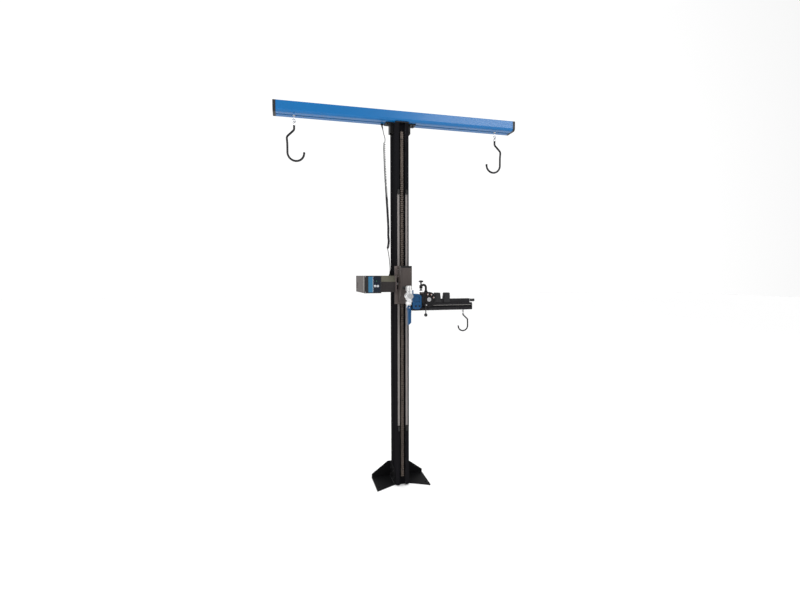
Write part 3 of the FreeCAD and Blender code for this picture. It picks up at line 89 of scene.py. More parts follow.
JAW_LEAN = 8.0 / 61.0

# painted highlight bands on the mast's front lips: their span across (X) and up the mast (Z)
LIP_HIGHLIGHT_X = (0.0200, 0.0335)
LIP_HIGHLIGHT_Z = (0.41, 1.93)


# ---------------------------------------------------------------- camera
def make_camera():
    """The camera at the stand's left front, level with the carriage."""
    data = bpy.data.cameras.new("camera")
    data.lens = CAMERA_LENS_MM
    data.sensor_width = 36.0
    camera = bpy.data.objects.new("camera", data)
    bpy.context.scene.collection.objects.link(camera)
    camera.location = CAMERA_PLACE
    turn = Matrix.Rotation(CAMERA_HEADING, 3, "Z") @ Matrix.Rotation(math.pi / 2 + CAMERA_PITCH, 3, "X")
    camera.rotation_euler = (turn @ Matrix.Rotation(CAMERA_ROLL, 3, "Z")).to_euler()
    bpy.context.scene.camera = camera


# ---------------------------------------------------------------- mesh helpers
def new_object(name, mesh, smooth=True):
    """A linked object from a mesh."""
    if smooth:
        for polygon in mesh.polygons:
            polygon.use_smooth = True
    obj = bpy.data.objects.new(name, mesh)
    bpy.context.scene.collection.objects.link(obj)
    return obj


def from_bmesh(name, bm, smooth=True):
    """A linked object from a bmesh, with its normals facing out."""
    bmesh.ops.recalc_face_normals(bm, faces=bm.faces)
    mesh = bpy.data.meshes.new(name)
    bm.to_mesh(mesh)
    bm.free()
    return new_object(name, mesh, smooth)


def spline_curve(name, points, resolution=4):
    """A curve of one smooth NURBS spline through the run of its control points."""
    curve = bpy.data.curves.new(name, "CURVE")
    curve.dimensions = "3D"
    spline = curve.splines.new("NURBS")
    spline.points.add(len(points) - 1)
    for target, place in zip(spline.points, points):
        target.co = (*place, 1.0)
    spline.order_u = 3
    spline.use_endpoint_u = True
    spline.resolution_u = resolution
    obj = bpy.data.objects.new(name, curve)
    bpy.context.scene.collection.objects.link(obj)
    return obj


def spline_line(points, resolution=4):
    """The points of a NURBS spline's own line, without repeated points."""
    obj = spline_curve("line", points, resolution)
    mesh = bpy.data.meshes.new_from_object(obj)
    line = [mesh.vertices[0].co.copy()]
    for vertex in mesh.vertices:
        if (vertex.co - line[-1]).length > 0.0002:
            line.append(vertex.co.copy())
    bpy.data.meshes.remove(mesh)
    bpy.data.objects.remove(obj)
    return line


def tube_mesh(name, line, radius_at, sides=10):
    """A closed tube round a line, with rings turned as little as possible from one to the next."""
    bm = bmesh.new()
    count = len(line)
    normal = Vector((1, 0, 0))
    rings = []
    for i, place in enumerate(line):
        tangent = (line[min(i + 1, count - 1)] - line[max(i - 1, 0)]).normalized()
        normal = (normal - tangent * normal.dot(tangent)).normalized()
        across = tangent.cross(normal)
        radius = radius_at(i / (count - 1))
        ring = []
        for k in range(sides):
            angle = 2 * math.pi * k / sides
            ring.append(bm.verts.new(place + (normal * math.cos(angle) + across * math.sin(angle)) * radius))
        rings.append(ring)
    for low, high in zip(rings, rings[1:]):
        for k in range(sides):
            bm.faces.new((low[k], low[(k + 1) % sides], high[(k + 1) % sides], high[k]))
    bm.faces.new(reversed(rings[0]))
    bm.faces.new(rings[-1])
    return from_bmesh(name, bm)


def turned(name, profile, axis, centre, steps=32):
    """A closed body of revolution: profile is (along, radius) pairs, axis X, Y or Z through centre."""
    bm = bmesh.new()
    spin = {"X": Matrix.Rotation(math.pi / 2, 4, "Y"), "Y": Matrix.Rotation(-math.pi / 2, 4, "X"),
            "Z": Matrix.Identity(4)}[axis]
    rings = []
    for along, radius in profile:
        ring = []
        for k in range(steps):
            angle = 2 * math.pi * k / steps
            place = Vector((radius * math.cos(angle), radius * math.sin(angle), along))
            ring.append(bm.verts.new(spin @ place + Vector(centre)))
        rings.append(ring)
    for low, high in zip(rings, rings[1:]):
        for k in range(steps):
            bm.faces.new((low[k], low[(k + 1) % steps], high[(k + 1) % steps], high[k]))
    bm.faces.new(rings[0])
    bm.faces.new(rings[-1])
    return from_bmesh(name, bm)


def plate(name, outline, axis, low, high, bevel=0.0004):
    """A flat piece with eased edges: outline in the plane across the axis, extruded from low to high."""
    order = {"X": lambda u, v, w: (w, u, v), "Y": lambda u, v, w: (u, w, v), "Z": lambda u, v, w: (u, v, w)}[axis]
    bm = bmesh.new()
    near = [bm.verts.new(order(u, v, low)) for u, v in outline]
    far = [bm.verts.new(order(u, v, high)) for u, v in outline]
    bm.faces.new(near)
    bm.faces.new(reversed(far))
    for i in range(len(outline)):
        j = (i + 1) % len(outline)
        bm.faces.new((near[i], near[j], far[j], far[i]))
    bmesh.ops.bevel(bm, geom=list(bm.edges), offset=bevel, segments=2, affect="EDGES", clamp_overlap=True)
    return from_bmesh(name, bm, smooth=False)


def rectangle(low_u, high_u, low_v, high_v):
    """The corners of a rectangle."""
    return [(low_u, low_v), (high_u, low_v), (high_u, high_v), (low_u, high_v)]


def finish_piece(obj, body, material):
    """Ride a new piece on its body with its material."""
    obj.data.materials.append(material)
    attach(obj, body)
    return obj


# ---------------------------------------------------------------- curly cord
def coil_points():
    """Control points of the curly cord: both leads and the helix round the coil's centreline."""
    centre = spline_line(COIL_ROUTE, 24)
    reach = [0.0]
    for a, b in zip(centre, centre[1:]):
        reach.append(reach[-1] + (b - a).length)
    total = reach[-1]
    helix_r = (COIL_D - WIRE_D) / 2

    def pitch(s):
        opened = max(0.0, 1 - s / OPEN_STRETCH)
        return CLOSED_PITCH + (OPEN_PITCH - CLOSED_PITCH) * opened ** 0.5

    def centre_at(s):
        i = 0
        while i < len(reach) - 2 and reach[i + 1] < s:
            i += 1
        t = (s - reach[i]) / (reach[i + 1] - reach[i])
        return centre[i].lerp(centre[i + 1], min(1.0, t)), (centre[i + 1] - centre[i]).normalized()

    points = []
    s, angle = 0.004, 0.0
    step = 2 * math.pi / POINTS_PER_TURN
    while s < total - 0.004:
        place, tangent = centre_at(s)
        side = Vector((1, 0, 0))
        side = (side - tangent * side.dot(tangent)).normalized()
        across = tangent.cross(side)
        ease = min(1.0, s / 0.010, (total - s) / 0.010)
        uneven = 1 + 0.035 * math.sin(s * 61.0) * math.sin(s * 23.0 + 1.0)
        radius = helix_r * ease / math.cos(step / 2) * min(uneven, 1.0)
        points.append(place + (side * math.cos(angle) + across * math.sin(angle)) * radius)
        angle += step
        s += pitch(s) * (1 + 0.10 * math.sin(s * 97.0)) / POINTS_PER_TURN
    top = [Vector(p) for p in TOP_LEAD[:-1]]
    low = [Vector(p) for p in LOW_LEAD[1:]]
    return top + points + low


def make_cord(material):
    """The curly cord from the bar's gland to the arm's gland, its coil drawn more open towards the top."""
    line = spline_line(coil_points(), 3)
    cord = tube_mesh("curly_cord", line, lambda t: WIRE_D / 2, sides=10)
    cord.data.materials.append(material)
    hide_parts("cord_top_lead", "cord_coil", "cord_low_lead")
    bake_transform(cord)
    return cord


def strain_relief(name, lead, body, material):
    """A ribbed rubber sleeve that tapers along the cord from its gland."""
    line = spline_line(lead, 60)
    run = [line[0]]
    length = 0.0
    for a, b in zip(line, line[1:]):
        length += (b - a).length
        if length > RELIEF_LENGTH:
            break
        run.append(b)

    def radius_at(t):
        rib = 0.0005 if (t * RELIEF_RIBS) % 1.0 < 0.55 and t < 0.97 else 0.0
        return 0.0045 + rib - 0.0019 * t

    return finish_piece(tube_mesh(name, run, radius_at, sides=20), body, material)


# ---------------------------------------------------------------- materials
def node(tree, kind, **settings):
    """A shader node with its properties and inputs set by name."""
    made = tree.nodes.new(kind)
    for key, value in settings.items():
        if key in made.inputs:
            made.inputs[key].default_value = value
        else:
            setattr(made, key, value)
    return made


def colour(rgb, factor=1.0):
    """An RGBA value, darkened or lightened."""
    return (*[min(1.0, c * factor) for c in rgb], 1.0)


def surface(name, rgb, metallic=0.0, roughness=0.5, spread=0.12, grain=900.0, bump=0.03,
            stretch=(1, 1, 1), coat=0.0, worn=None, worn_amount=0.0, edge=0.0008, specks=0.0,
            specular=0.5, lip_highlight=None):
    """A finish with uneven colour and roughness, fine relief, eased edges and light wear, and optionally a painted
    highlight band on the mast's lips.
    """
    material = bpy.data.materials.new(name)
    material.use_nodes = True
    tree = material.node_tree
    tree.nodes.clear()
    link = tree.links.new
    out = node(tree, "ShaderNodeOutputMaterial")
    shader = node(tree, "ShaderNodeBsdfPrincipled")
    shader.inputs["Metallic"].default_value = metallic
    shader.inputs["Coat Weight"].default_value = coat
    shader.inputs["Coat Roughness"].default_value = 0.12
    shader.inputs["Specular IOR Level"].default_value = specular
    link(shader.outputs[0], out.inputs[0])
    place = node(tree, "ShaderNodeTexCoord")
    scale = node(tree, "ShaderNodeMapping")
    scale.inputs["Scale"].default_value = stretch
    link(place.outputs["Object"], scale.inputs[0])

    broad = node(tree, "ShaderNodeTexNoise", Scale=5.0, Detail=6.0, Roughness=0.6)
    link(scale.outputs[0], broad.inputs["Vector"])
    fine = node(tree, "ShaderNodeTexNoise", Scale=grain, Detail=3.0, Roughness=0.55)
    link(scale.outputs[0], fine.inputs["Vector"])

    shade = node(tree, "ShaderNodeValToRGB")
    shade.color_ramp.elements[0].position = 0.3
    shade.color_ramp.elements[0].color = colour(rgb, 1 - spread)
    shade.color_ramp.elements[1].position = 0.72
    shade.color_ramp.elements[1].color = colour(rgb, 1 + spread)
    link(broad.outputs[0], shade.inputs[0])
    base = shade.outputs[0]

    if specks:
        dust = node(tree, "ShaderNodeTexNoise", Scale=260.0, Detail=8.0, Roughness=0.8)
        link(place.outputs["Object"], dust.inputs["Vector"])
        lift = node(tree, "ShaderNodeMapRange")
        lift.inputs[1].default_value = 0.62
        lift.inputs[2].default_value = 0.78
        lift.inputs[4].default_value = specks
        link(dust.outputs[0], lift.inputs[0])
        mix = node(tree, "ShaderNodeMix", data_type="RGBA")
        mix.inputs[7].default_value = colour(rgb, 2.2)
        link(lift.outputs[0], mix.inputs[0])
        link(base, mix.inputs[6])
        base = mix.outputs[2]

    eased = node(tree, "ShaderNodeBevel", samples=3)
    eased.inputs["Radius"].default_value = edge
    if worn:
        geometry = node(tree, "ShaderNodeNewGeometry")
        turn = node(tree, "ShaderNodeVectorMath", operation="DOT_PRODUCT")
        link(eased.outputs[0], turn.inputs[0])
        link(geometry.outputs["True Normal"], turn.inputs[1])
        rim = node(tree, "ShaderNodeMapRange")
        rim.inputs[1].default_value = 0.985
        rim.inputs[2].default_value = 0.80
        rim.inputs[4].default_value = worn_amount
        link(turn.outputs["Value"], rim.inputs[0])
        patchy = node(tree, "ShaderNodeTexNoise", Scale=38.0, Detail=6.0, Roughness=0.7)
        link(place.outputs["Object"], patchy.inputs["Vector"])
        gate = node(tree, "ShaderNodeMapRange")
        gate.inputs[1].default_value = 0.42
        gate.inputs[2].default_value = 0.62
        link(patchy.outputs[0], gate.inputs[0])
        both = node(tree, "ShaderNodeMath", operation="MULTIPLY")
        link(rim.outputs[0], both.inputs[0])
        link(gate.outputs[0], both.inputs[1])
        mix = node(tree, "ShaderNodeMix", data_type="RGBA")
        mix.inputs[7].default_value = (*worn, 1.0)
        link(both.outputs[0], mix.inputs[0])
        link(base, mix.inputs[6])
        base = mix.outputs[2]
    # painted highlight: lighter bands on the mast's front lips
    if lip_highlight:
        base = painted_lip_highlight(tree, place, fine, base, lip_highlight)
    link(base, shader.inputs["Base Color"])

    rough = node(tree, "ShaderNodeMapRange")
    rough.inputs[3].default_value = max(0.03, roughness - 0.10)
    rough.inputs[4].default_value = min(1.0, roughness + 0.12)
    link(fine.outputs[0], rough.inputs[0])
    link(rough.outputs[0], shader.inputs["Roughness"])

    relief = node(tree, "ShaderNodeBump", Strength=bump, Distance=0.0006)
    link(fine.outputs[0], relief.inputs["Height"])
    link(eased.outputs[0], relief.inputs["Normal"])
    link(relief.outputs[0], shader.inputs["Normal"])
    return material


def within(tree, value, low, high):
    """A mask that is one where a value lies between two limits."""
    above = node(tree, "ShaderNodeMath", operation="GREATER_THAN")
    above.inputs[1].default_value = low
    below = node(tree, "ShaderNodeMath", operation="LESS_THAN")
    below.inputs[1].default_value = high
    both = node(tree, "ShaderNodeMath", operation="MULTIPLY")
    tree.links.new(value, above.inputs[0])
    tree.links.new(value, below.inputs[0])
    tree.links.new(above.outputs[0], both.inputs[0])
    tree.links.new(below.outputs[0], both.inputs[1])
    return both.outputs[0]


def painted_lip_highlight(tree, place, fine, base, rgb):
    """Two lighter bands on the mast's front lips: a painted highlight for the light the lips' front faces catch.
    """
    link = tree.links.new
    parts = node(tree, "ShaderNodeSeparateXYZ")
    link(place.outputs["Object"], parts.inputs[0])
    across = node(tree, "ShaderNodeMath", operation="ABSOLUTE")
    link(parts.outputs["X"], across.inputs[0])
    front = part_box("mast")[0][1]
    masks = [
        within(tree, across.outputs[0], *LIP_HIGHLIGHT_X),
        within(tree, parts.outputs["Y"], front - 0.001, front + 0.0004),
        within(tree, parts.outputs["Z"], *LIP_HIGHLIGHT_Z),
    ]
    mask = masks[0]
    for other in masks[1:]:
        both = node(tree, "ShaderNodeMath", operation="MULTIPLY")
        link(mask, both.inputs[0])
        link(other, both.inputs[1])
        mask = both.outputs[0]
    uneven = node(tree, "ShaderNodeMapRange")
    uneven.inputs[1].default_value = 0.25
    uneven.inputs[2].default_value = 0.6
    uneven.inputs[3].default_value = 0.55
    link(fine.outputs[0], uneven.inputs[0])
    amount = node(tree, "ShaderNodeMath", operation="MULTIPLY")
    link(mask, amount.inputs[0])
    link(uneven.outputs[0], amount.inputs[1])
    mix = node(tree, "ShaderNodeMix", data_type="RGBA")
    mix.inputs[7].default_value = colour(rgb)
    link(amount.outputs[0], mix.inputs[0])
    link(base, mix.inputs[6])
    return mix.outputs[2]


def split_finish(name, upper, lower, axis, level):
    """Two finishes on one piece: the upper one past a level along an axis, the lower one before it."""
    material = bpy.data.materials.new(name)
    material.use_nodes = True
    tree = material.node_tree
    tree.nodes.clear()
    link = tree.links.new
    out = node(tree, "ShaderNodeOutputMaterial")
    place = node(tree, "ShaderNodeTexCoord")
    parts = node(tree, "ShaderNodeSeparateXYZ")
    link(place.outputs["Object"], parts.inputs[0])
    above = node(tree, "ShaderNodeMath", operation="GREATER_THAN")
    above.inputs[1].default_value = level
    link(parts.outputs[axis], above.inputs[0])
    shader = node(tree, "ShaderNodeBsdfPrincipled")
    tint = node(tree, "ShaderNodeMix", data_type="RGBA")
    tint.inputs[6].default_value = colour(lower["rgb"])
    tint.inputs[7].default_value = colour(upper["rgb"])
    link(above.outputs[0], tint.inputs[0])
    mottle = node(tree, "ShaderNodeTexNoise", Scale=420.0, Detail=5.0, Roughness=0.6)
    link(place.outputs["Object"], mottle.inputs["Vector"])
    shade = node(tree, "ShaderNodeMapRange")
    shade.inputs[3].default_value = 0.8
    shade.inputs[4].default_value = 1.2
    link(mottle.outputs[0], shade.inputs[0])
    scaled = node(tree, "ShaderNodeVectorMath", operation="SCALE")
    link(tint.outputs[2], scaled.inputs[0])
    link(shade.outputs[0], scaled.inputs["Scale"])
    link(scaled.outputs[0], shader.inputs["Base Color"])
    for key, socket in (("metallic", "Metallic"), ("roughness", "Roughness"), ("specular", "Specular IOR Level")):
        chosen = node(tree, "ShaderNodeMapRange")
        chosen.inputs[3].default_value = lower[key]
        chosen.inputs[4].default_value = upper[key]
        link(above.outputs[0], chosen.inputs[0])
        link(chosen.outputs[0], shader.inputs[socket])
    relief = node(tree, "ShaderNodeBump", Strength=0.12, Distance=0.0004)
    link(mottle.outputs[0], relief.inputs["Height"])
    link(relief.outputs[0], shader.inputs["Normal"])
    link(shader.outputs[0], out.inputs[0])
    return material


def make_materials():
    """One finish for each of the record's material slots."""
    bare = (0.55, 0.54, 0.52)
    return {
        "blue_paint": surface("blue_paint", (0.0, 0.098, 0.28), 0.0, 0.36, 0.04, 1400, 0.012, coat=0.08,
                              edge=0.0014, specular=0.3),
        "bracket_blue": surface("bracket_blue", (0.0, 0.044, 0.125), 0.0, 0.40, 0.10, 1400, 0.03,
                                worn=(0.02, 0.15, 0.36), worn_amount=0.5, edge=0.0016, specular=0.3),
        "light_blue_panel": surface("light_blue_panel", (0.024, 0.115, 0.21), 0.0, 0.32, 0.05, 1600, 0.02,
                                    specular=0.3),
        "black_anodised": surface("black_anodised", (0.0085, 0.0082, 0.0095), 0.0, 0.44, 0.22, 240, 0.05,
                                  stretch=(6, 6, 0.12), worn=(0.10, 0.10, 0.105), worn_amount=0.5, edge=0.0016,
                                  specks=0.12, specular=0.16),
        # mast: no specular reflection; the lighter rims on its edges are wear, and also a painted edge highlight
        # in place of reflection
        "mast_anodised": surface("mast_anodised", (0.0080, 0.0078, 0.0090), 0.0, 0.55, 0.22, 240, 0.05,
                                 stretch=(6, 6, 0.12), worn=(0.10, 0.10, 0.105), worn_amount=0.4, edge=0.0030,
                                 # lighter bands on the lips: a painted highlight
                                 specks=0.12, specular=0.0, lip_highlight=(0.20, 0.185, 0.18)),
        "black_paint": surface("black_paint", (0.010, 0.0098, 0.0105), 0.0, 0.42, 0.15, 1100, 0.22,
                               worn=(0.08, 0.08, 0.085), worn_amount=0.5, edge=0.0012, specks=0.2, specular=0.12),
        "base_black": surface("base_black", (0.0060, 0.0060, 0.0065), 0.0, 0.50, 0.20, 1100, 0.22,
                              worn=(0.07, 0.07, 0.075), worn_amount=0.5, edge=0.0014, specks=0.25, specular=0.03),
        "grey_paint": surface("grey_paint", (0.056, 0.047, 0.044), 0.0, 0.46, 0.14, 1300, 0.18,
                              worn=(0.15, 0.14, 0.135), worn_amount=0.45, edge=0.0012, specks=0.15, specular=0.1),
        # light grey for painted highlight strips (housing corner, beam slot lip)
        "painted_highlight_grey": surface("painted_highlight_grey", (0.27, 0.26, 0.25), 0.0, 0.50, 0.10, 1300, 0.05, specular=0.0),
        "black_plastic": surface("black_plastic", (0.011, 0.011, 0.012), 0.0, 0.46, 0.12, 900, 0.30,
                                 worn=(0.06, 0.06, 0.062), worn_amount=0.4, edge=0.0008, specular=0.25),
        "gloss_black": surface("gloss_black", (0.003, 0.007, 0.015), 0.0, 0.16, 0.10, 1500, 0.01, specular=0.4),
        "rack_steel": surface("rack_steel", (0.11, 0.088, 0.074), 0.6, 0.40, 0.25, 700, 0.10,
                              worn=(0.40, 0.35, 0.30), worn_amount=0.8, edge=0.0014, specks=0.3),
        "bright_steel": surface("bright_steel", (0.55, 0.55, 0.56), 1.0, 0.28, 0.10, 900, 0.06, worn=bare,
                                worn_amount=0.3),
        "cast_alloy": surface("cast_alloy", (0.80, 0.80, 0.80), 0.55, 0.36, 0.08, 750, 0.22, worn=(0.9, 0.9, 0.9),
                              worn_amount=0.5),
        "black_rubber": surface("black_rubber", (0.013, 0.013, 0.013), 0.0, 0.68, 0.15, 650, 0.35, specular=0.25),
        "nylon": surface("nylon", (0.62, 0.61, 0.57), 0.0, 0.46, 0.06, 700, 0.10),
        "copper": surface("copper", (0.48, 0.17, 0.09), 0.95, 0.33, 0.14, 800, 0.08),
        "board_green": surface("board_green", (0.02, 0.15, 0.06), 0.0, 0.35, 0.35, 160, 0.10, coat=0.3),
        "lamp_green": surface("lamp_green", (0.02, 0.11, 0.045), 0.0, 0.14, 0.05, 900, 0.02, coat=0.4),
        "button_grey": surface("button_grey", (0.50, 0.52, 0.54), 0.0, 0.38, 0.05, 900, 0.08),
        "cord_rubber": surface("cord_rubber", (0.016, 0.016, 0.018), 0.0, 0.40, 0.15, 1200, 0.08, edge=0.0002,
                               specular=0.3),
    }


def paint_nodes(materials):
    """Give every CAD node its slot's finish, and a few nodes a finish of their own."""
    coated = {"rgb": (0.008, 0.008, 0.009), "roughness": 0.42, "metallic": 0.0, "specular": 0.2}
    eye = {"rgb": (0.55, 0.55, 0.56), "roughness": 0.26, "metallic": 1.0, "specular": 0.5}
    # painted light on the arm: the upper sloped face a lighter olive-grey as painted sheen, the face below darker
    # as painted shade
    painted_lit_slope = {"rgb": (0.095, 0.090, 0.066), "roughness": 0.45, "metallic": 0.0, "specular": 0.2}
    dark = {"rgb": (0.030, 0.026, 0.026), "roughness": 0.45, "metallic": 0.0, "specular": 0.15}
    # painted light on the carriage frame: the part in front of the mast a lighter grey as if lit from the front,
    # the part behind it near-black as painted shade
    painted_lit_front = {"rgb": (0.130, 0.108, 0.103), "roughness": 0.48, "metallic": 0.0, "specular": 0.15}
    painted_shade_back = {"rgb": (0.006, 0.006, 0.007), "roughness": 0.6, "metallic": 0.0, "specular": 0.0}
    slot_of = {entry["node"]: entry["material_slot"] for entry in frame["record"]["subparts"]}
    own = {
        "mast": materials["mast_anodised"],
        "floor_base": materials["base_black"],
        "clamp_bracket": materials["bracket_blue"],
        "cam_lever": materials["bracket_blue"],
    }
    for name, drop in (("left_hook", 0.026), ("right_hook", 0.026), ("beam_hook", 0.0165)):
        own[name] = split_finish(name + "_finish", eye, coated, "Z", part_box(name)[1][2] - drop)
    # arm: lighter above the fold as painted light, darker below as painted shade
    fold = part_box("arm_tube")[1][2] - 0.0385
    own["arm_tube"] = split_finish("arm_painted_light", painted_lit_slope, dark, "Z", fold)
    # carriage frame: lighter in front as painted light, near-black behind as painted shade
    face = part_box("mast")[0][1] - 0.010
    own["carriage_frame"] = split_finish("carriage_finish", painted_shade_back, painted_lit_front, "Y", face)
    for name, obj in NODES.items():
        material = own.get(name) or materials[slot_of[name]]
        obj.data.materials.clear()
        obj.data.materials.append(material)


# ---------------------------------------------------------------- details
def weld_beads(material):
    """Rippled weld beads where the base's gusset and cheeks meet the plate."""
    low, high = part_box("floor_base")
    mast_low, mast_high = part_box("mast")
    top = mast_low[2]
    face = high[1] - GUSSET_T
    left, right = mast_low[0] - 0.006, mast_high[0] + 0.006
    runs = [
        ("weld_gusset_left", (low[0] + 0.006, face, top), (left - 0.002, face, top)),
        ("weld_gusset_right", (right + 0.002, face, top), (high[0] - 0.006, face, top)),
        ("weld_cheek_left", (left, -0.046, top), (left, face - 0.002, top)),
        ("weld_cheek_right", (right, -0.046, top), (right, face - 0.002, top)),
    ]
    for name, start, end in runs:
        start, end = Vector(start), Vector(end)
        steps = int((end - start).length / 0.0011)
        line = [start.lerp(end, i / steps) for i in range(steps + 1)]
        ripple = [0.0030 + 0.0006 * math.sin(i * 1.9) for i in range(steps + 1)]
        bead = tube_mesh(name, line, lambda t: ripple[round(t * steps)], sides=10)
        finish_piece(bead, "mast", material)


def jaw_pads(material):
    """Ribbed rubber pads on the facing sides of the two jaws."""
    rail_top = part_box("jaw_rail")[1][2]
    for name, jaw_name, body, sign in (
        ("fixed_jaw_pad", "fixed_jaw", "clamp", 1),
        ("moving_jaw_pad", "moving_jaw", "moving_jaw", -1),
    ):
        low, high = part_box(jaw_name)
        foot = high[0] if sign > 0 else low[0]
        start, end = rail_top + 0.003, high[2] - 0.004
        outline = []
        ribs = 7
        for i in range(ribs * 2 + 1):
            z = start + (end - start) * i / (ribs * 2)
            face = foot - sign * JAW_LEAN * (z - low[2])
            outline.append((face + sign * (0.0012 if i % 2 else 0.0005), z))
        back = [(x - sign * 0.0014, z) for x, z in reversed(outline)]
        pad = plate(name, outline + back, "Y", low[1] + 0.003, high[1] - 0.003, 0.0002)
        finish_piece(pad, body, material)


def button_arrows(material):
    """A plain raised triangle on each button, one up and one down."""
    for name, sign in (("up_button", 1), ("down_button", -1)):
        low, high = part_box(name)
        x = (low[0] + high[0]) / 2
        z = (low[2] + high[2]) / 2
        outline = [(x - 0.0032, z - sign * 0.0022), (x + 0.0032, z - sign * 0.0022), (x, z + sign * 0.0030)]
        if sign < 0:
            outline.reverse()
        arrow = plate(name + "_arrow", outline, "Y", low[1] - 0.0004, low[1] + 0.0004, 0.0001)
        finish_piece(arrow, name, material)


def housing_details(materials):
    """Seam strips, a trim line and small cap screws on the housing's front, and a light grey strip on the left
    face near the front corner as a painted highlight.
    """
    low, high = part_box("housing_bezel")
    stripe_low, stripe_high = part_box("stripe_panel")
    panel_low, panel_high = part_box("button_panel")
    front = low[1]
    trim = plate("stripe_trim", rectangle(stripe_high[0] - 0.0008, stripe_high[0] + 0.0008, stripe_low[2], stripe_high[2]),
                 "Y", stripe_low[1] - 0.0006, stripe_low[1] + 0.0004, 0.0002)
    finish_piece(trim, "carriage", materials["button_grey"])
    for i, (x, z) in enumerate(((low[0] + 0.006, low[2] + 0.006), (low[0] + 0.006, high[2] - 0.006))):
        profile = [(0.0004, 0.0020), (-0.0006, 0.0020), (-0.0011, 0.0015), (-0.0011, 0.0009), (-0.0002, 0.0008)]
        screw = turned(f"bezel_screw_{i}", profile, "Y", (x, front, z), 20)
        finish_piece(screw, "carriage", materials["bright_steel"])
    # painted highlight: a light grey strip on the housing's left face, near its front corner
    shell_low, shell_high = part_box("housing_shell")
    strip = plate("housing_corner_highlight",
                  rectangle(front + 0.018, front + 0.032, shell_low[2] + 0.003, shell_high[2] - 0.003),
                  "X", shell_low[0] - 0.0005, shell_low[0] + 0.0004, 0.0002)
    finish_piece(strip, "carriage", materials["painted_highlight_grey"])
    for i, z in enumerate((shell_low[2] + 0.0012, shell_high[2] - 0.0012)):
        seam = plate(f"housing_seam_{i}", rectangle(shell_low[1] + 0.002, shell_high[1] - 0.002, z - 0.0007, z + 0.0007),
                     "X", shell_low[0] - 0.0007, shell_low[0] + 0.0006, 0.0002)
        finish_piece(seam, "carriage", materials["grey_paint"])


def cover_details(materials):
    """The dark top band, the knurled knob and the side seam of the carriage's front cover."""
    low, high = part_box("front_cover")
    front = low[1]
    band = plate("cover_top_band", rectangle(low[0] + 0.0005, high[0] - 0.0005, high[2] - 0.012, high[2] - 0.0005),
                 "Y", front - 0.0008, front + 0.0006, 0.0003)
    finish_piece(band, "carriage", materials["black_paint"])
    seam = plate("cover_seam", rectangle(low[0] + 0.007, low[0] + 0.0085, high[2] - 0.190, high[2] - 0.013),
                 "Y", front - 0.0004, front + 0.0006, 0.0002)
    finish_piece(seam, "carriage", materials["black_paint"])
    knob = turned("cover_knob", [(0.0006, 0.0085), (-0.0012, 0.0100), (-0.0055, 0.0100), (-0.0070, 0.0085)], "Y",
                  (-0.016, front, 1.323), 24)
    finish_piece(knob, "carriage", materials["black_plastic"])


def beam_painted_highlight(material):
    """A thin light strip along the beam's front, just above its slot: a painted highlight on the slot's upper lip.
    """
    low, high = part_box("beam")
    # painted highlight: light grey strip along the beam's front
    slot_highlight = plate("beam_painted_highlight", rectangle(low[0] + 0.130, high[0] - 0.006, high[2] - 0.0150, high[2] - 0.0132), "Y",
                 low[1] - 0.0003, low[1] + 0.0004, 0.0001)
    finish_piece(slot_highlight, "clamp", material)


def glide_wipers(material):
    """Thin felt wipers at the top and bottom of the carriage, close to the mast's lips."""
    low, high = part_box("carriage_frame")
    mast_low, mast_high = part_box("mast")
    for i, (z0, z1) in enumerate(((low[2] + 0.001, low[2] + 0.006), (high[2] - 0.006, high[2] - 0.001))):
        for side in (-1, 1):
            x = sorted((side * 0.0205, side * 0.0325))
            wiper = plate(f"wiper_{i}_{'left' if side < 0 else 'right'}",
                          rectangle(x[0], x[1], mast_low[1] - 0.0058, mast_low[1] - 0.0006), "Z", z0, z1, 0.0004)
            finish_piece(wiper, "carriage", material)


# ---------------------------------------------------------------- studio
def area_light(name, place, target, size, power, tint=(1.0, 1.0, 1.0)):
    """A soft square lamp aimed at a point."""
    data = bpy.data.lights.new(name, "AREA")
    data.shape = "RECTANGLE"
    data.size, data.size_y = size
    data.energy = power
    data.color = tint
    lamp = bpy.data.objects.new(name, data)
    bpy.context.scene.collection.objects.link(lamp)
    lamp.location = place
    lamp.rotation_mode = "QUATERNION"
    lamp.rotation_quaternion = (Vector(target) - Vector(place)).to_track_quat("-Z", "Y")


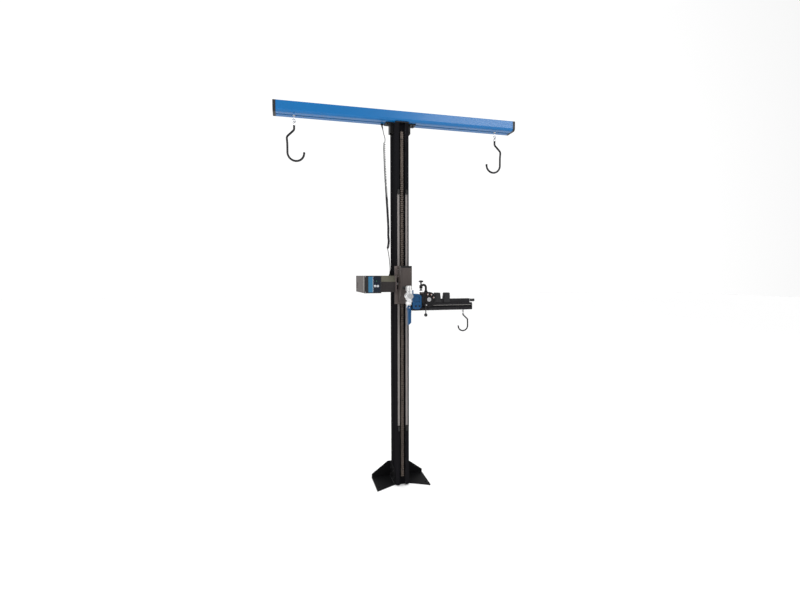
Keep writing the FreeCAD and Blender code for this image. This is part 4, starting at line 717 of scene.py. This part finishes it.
def make_studio():
    """A pale floor, a white surround and three soft lamps."""
    bm = bmesh.new()
    bmesh.ops.create_grid(bm, x_segments=2, y_segments=2, size=30.0)
    floor = from_bmesh("studio_floor", bm, smooth=False)
    material = bpy.data.materials.new("studio_floor")
    material.use_nodes = True
    tree = material.node_tree
    shader = tree.nodes["Principled BSDF"]
    shader.inputs["Roughness"].default_value = 0.75
    noise = node(tree, "ShaderNodeTexNoise", Scale=2.0, Detail=3.0)
    ramp = node(tree, "ShaderNodeValToRGB")
    ramp.color_ramp.elements[0].color = (0.88, 0.88, 0.88, 1)
    ramp.color_ramp.elements[1].color = (0.92, 0.92, 0.92, 1)
    tree.links.new(noise.outputs[0], ramp.inputs[0])
    tree.links.new(ramp.outputs[0], shader.inputs["Base Color"])
    floor.data.materials.append(material)

    world = bpy.data.worlds.new("studio")
    bpy.context.scene.world = world
    world.use_nodes = True
    tree = world.node_tree
    backdrop = tree.nodes["Background"]
    backdrop.inputs[0].default_value = (1.0, 1.0, 1.0, 1.0)
    place = node(tree, "ShaderNodeTexCoord")
    parts = node(tree, "ShaderNodeSeparateXYZ")
    tree.links.new(place.outputs["Generated"], parts.inputs[0])
    depth = node(tree, "ShaderNodeMapRange")
    depth.inputs[1].default_value = -0.6
    depth.inputs[2].default_value = 0.75
    depth.inputs[3].default_value = 0.34
    depth.inputs[4].default_value = 1.06
    tree.links.new(parts.outputs["Y"], depth.inputs[0])
    sky = node(tree, "ShaderNodeMapRange")
    sky.inputs[1].default_value = 0.45
    sky.inputs[2].default_value = 0.95
    sky.inputs[4].default_value = 0.9
    tree.links.new(parts.outputs["Z"], sky.inputs[0])
    total = node(tree, "ShaderNodeMath", operation="ADD")
    tree.links.new(depth.outputs[0], total.inputs[0])
    tree.links.new(sky.outputs[0], total.inputs[1])
    tree.links.new(total.outputs[0], backdrop.inputs[1])
    area_light("key", (-2.5, -3.1, 3.2), (0.1, 0, 1.7), (1.4, 1.4), 62)
    area_light("bar_light", (2.0, -3.1, 3.5), (0.5, 0, 2.4), (1.8, 1.2), 75)
    area_light("side", (-3.0, -0.7, 1.3), (0, 0, 1.3), (0.5, 2.2), 30)
    area_light("fill", (3.2, -2.6, 1.6), (0, 0, 1.2), (1.6, 2.6), 22)
    bpy.context.scene.view_settings.view_transform = "Standard"


# ---------------------------------------------------------------- making
make_camera()
materials = make_materials()
make_cord(materials["cord_rubber"])
paint_nodes(materials)
strain_relief("upper_strain_relief", TOP_LEAD, "mast", materials["black_rubber"])
strain_relief("lower_strain_relief", LOW_LEAD[::-1], "carriage", materials["black_rubber"])
weld_beads(materials["black_paint"])
jaw_pads(materials["black_rubber"])
button_arrows(materials["black_plastic"])
housing_details(materials)
cover_details(materials)
beam_painted_highlight(materials["painted_highlight_grey"])
glide_wipers(materials["black_rubber"])
make_studio()
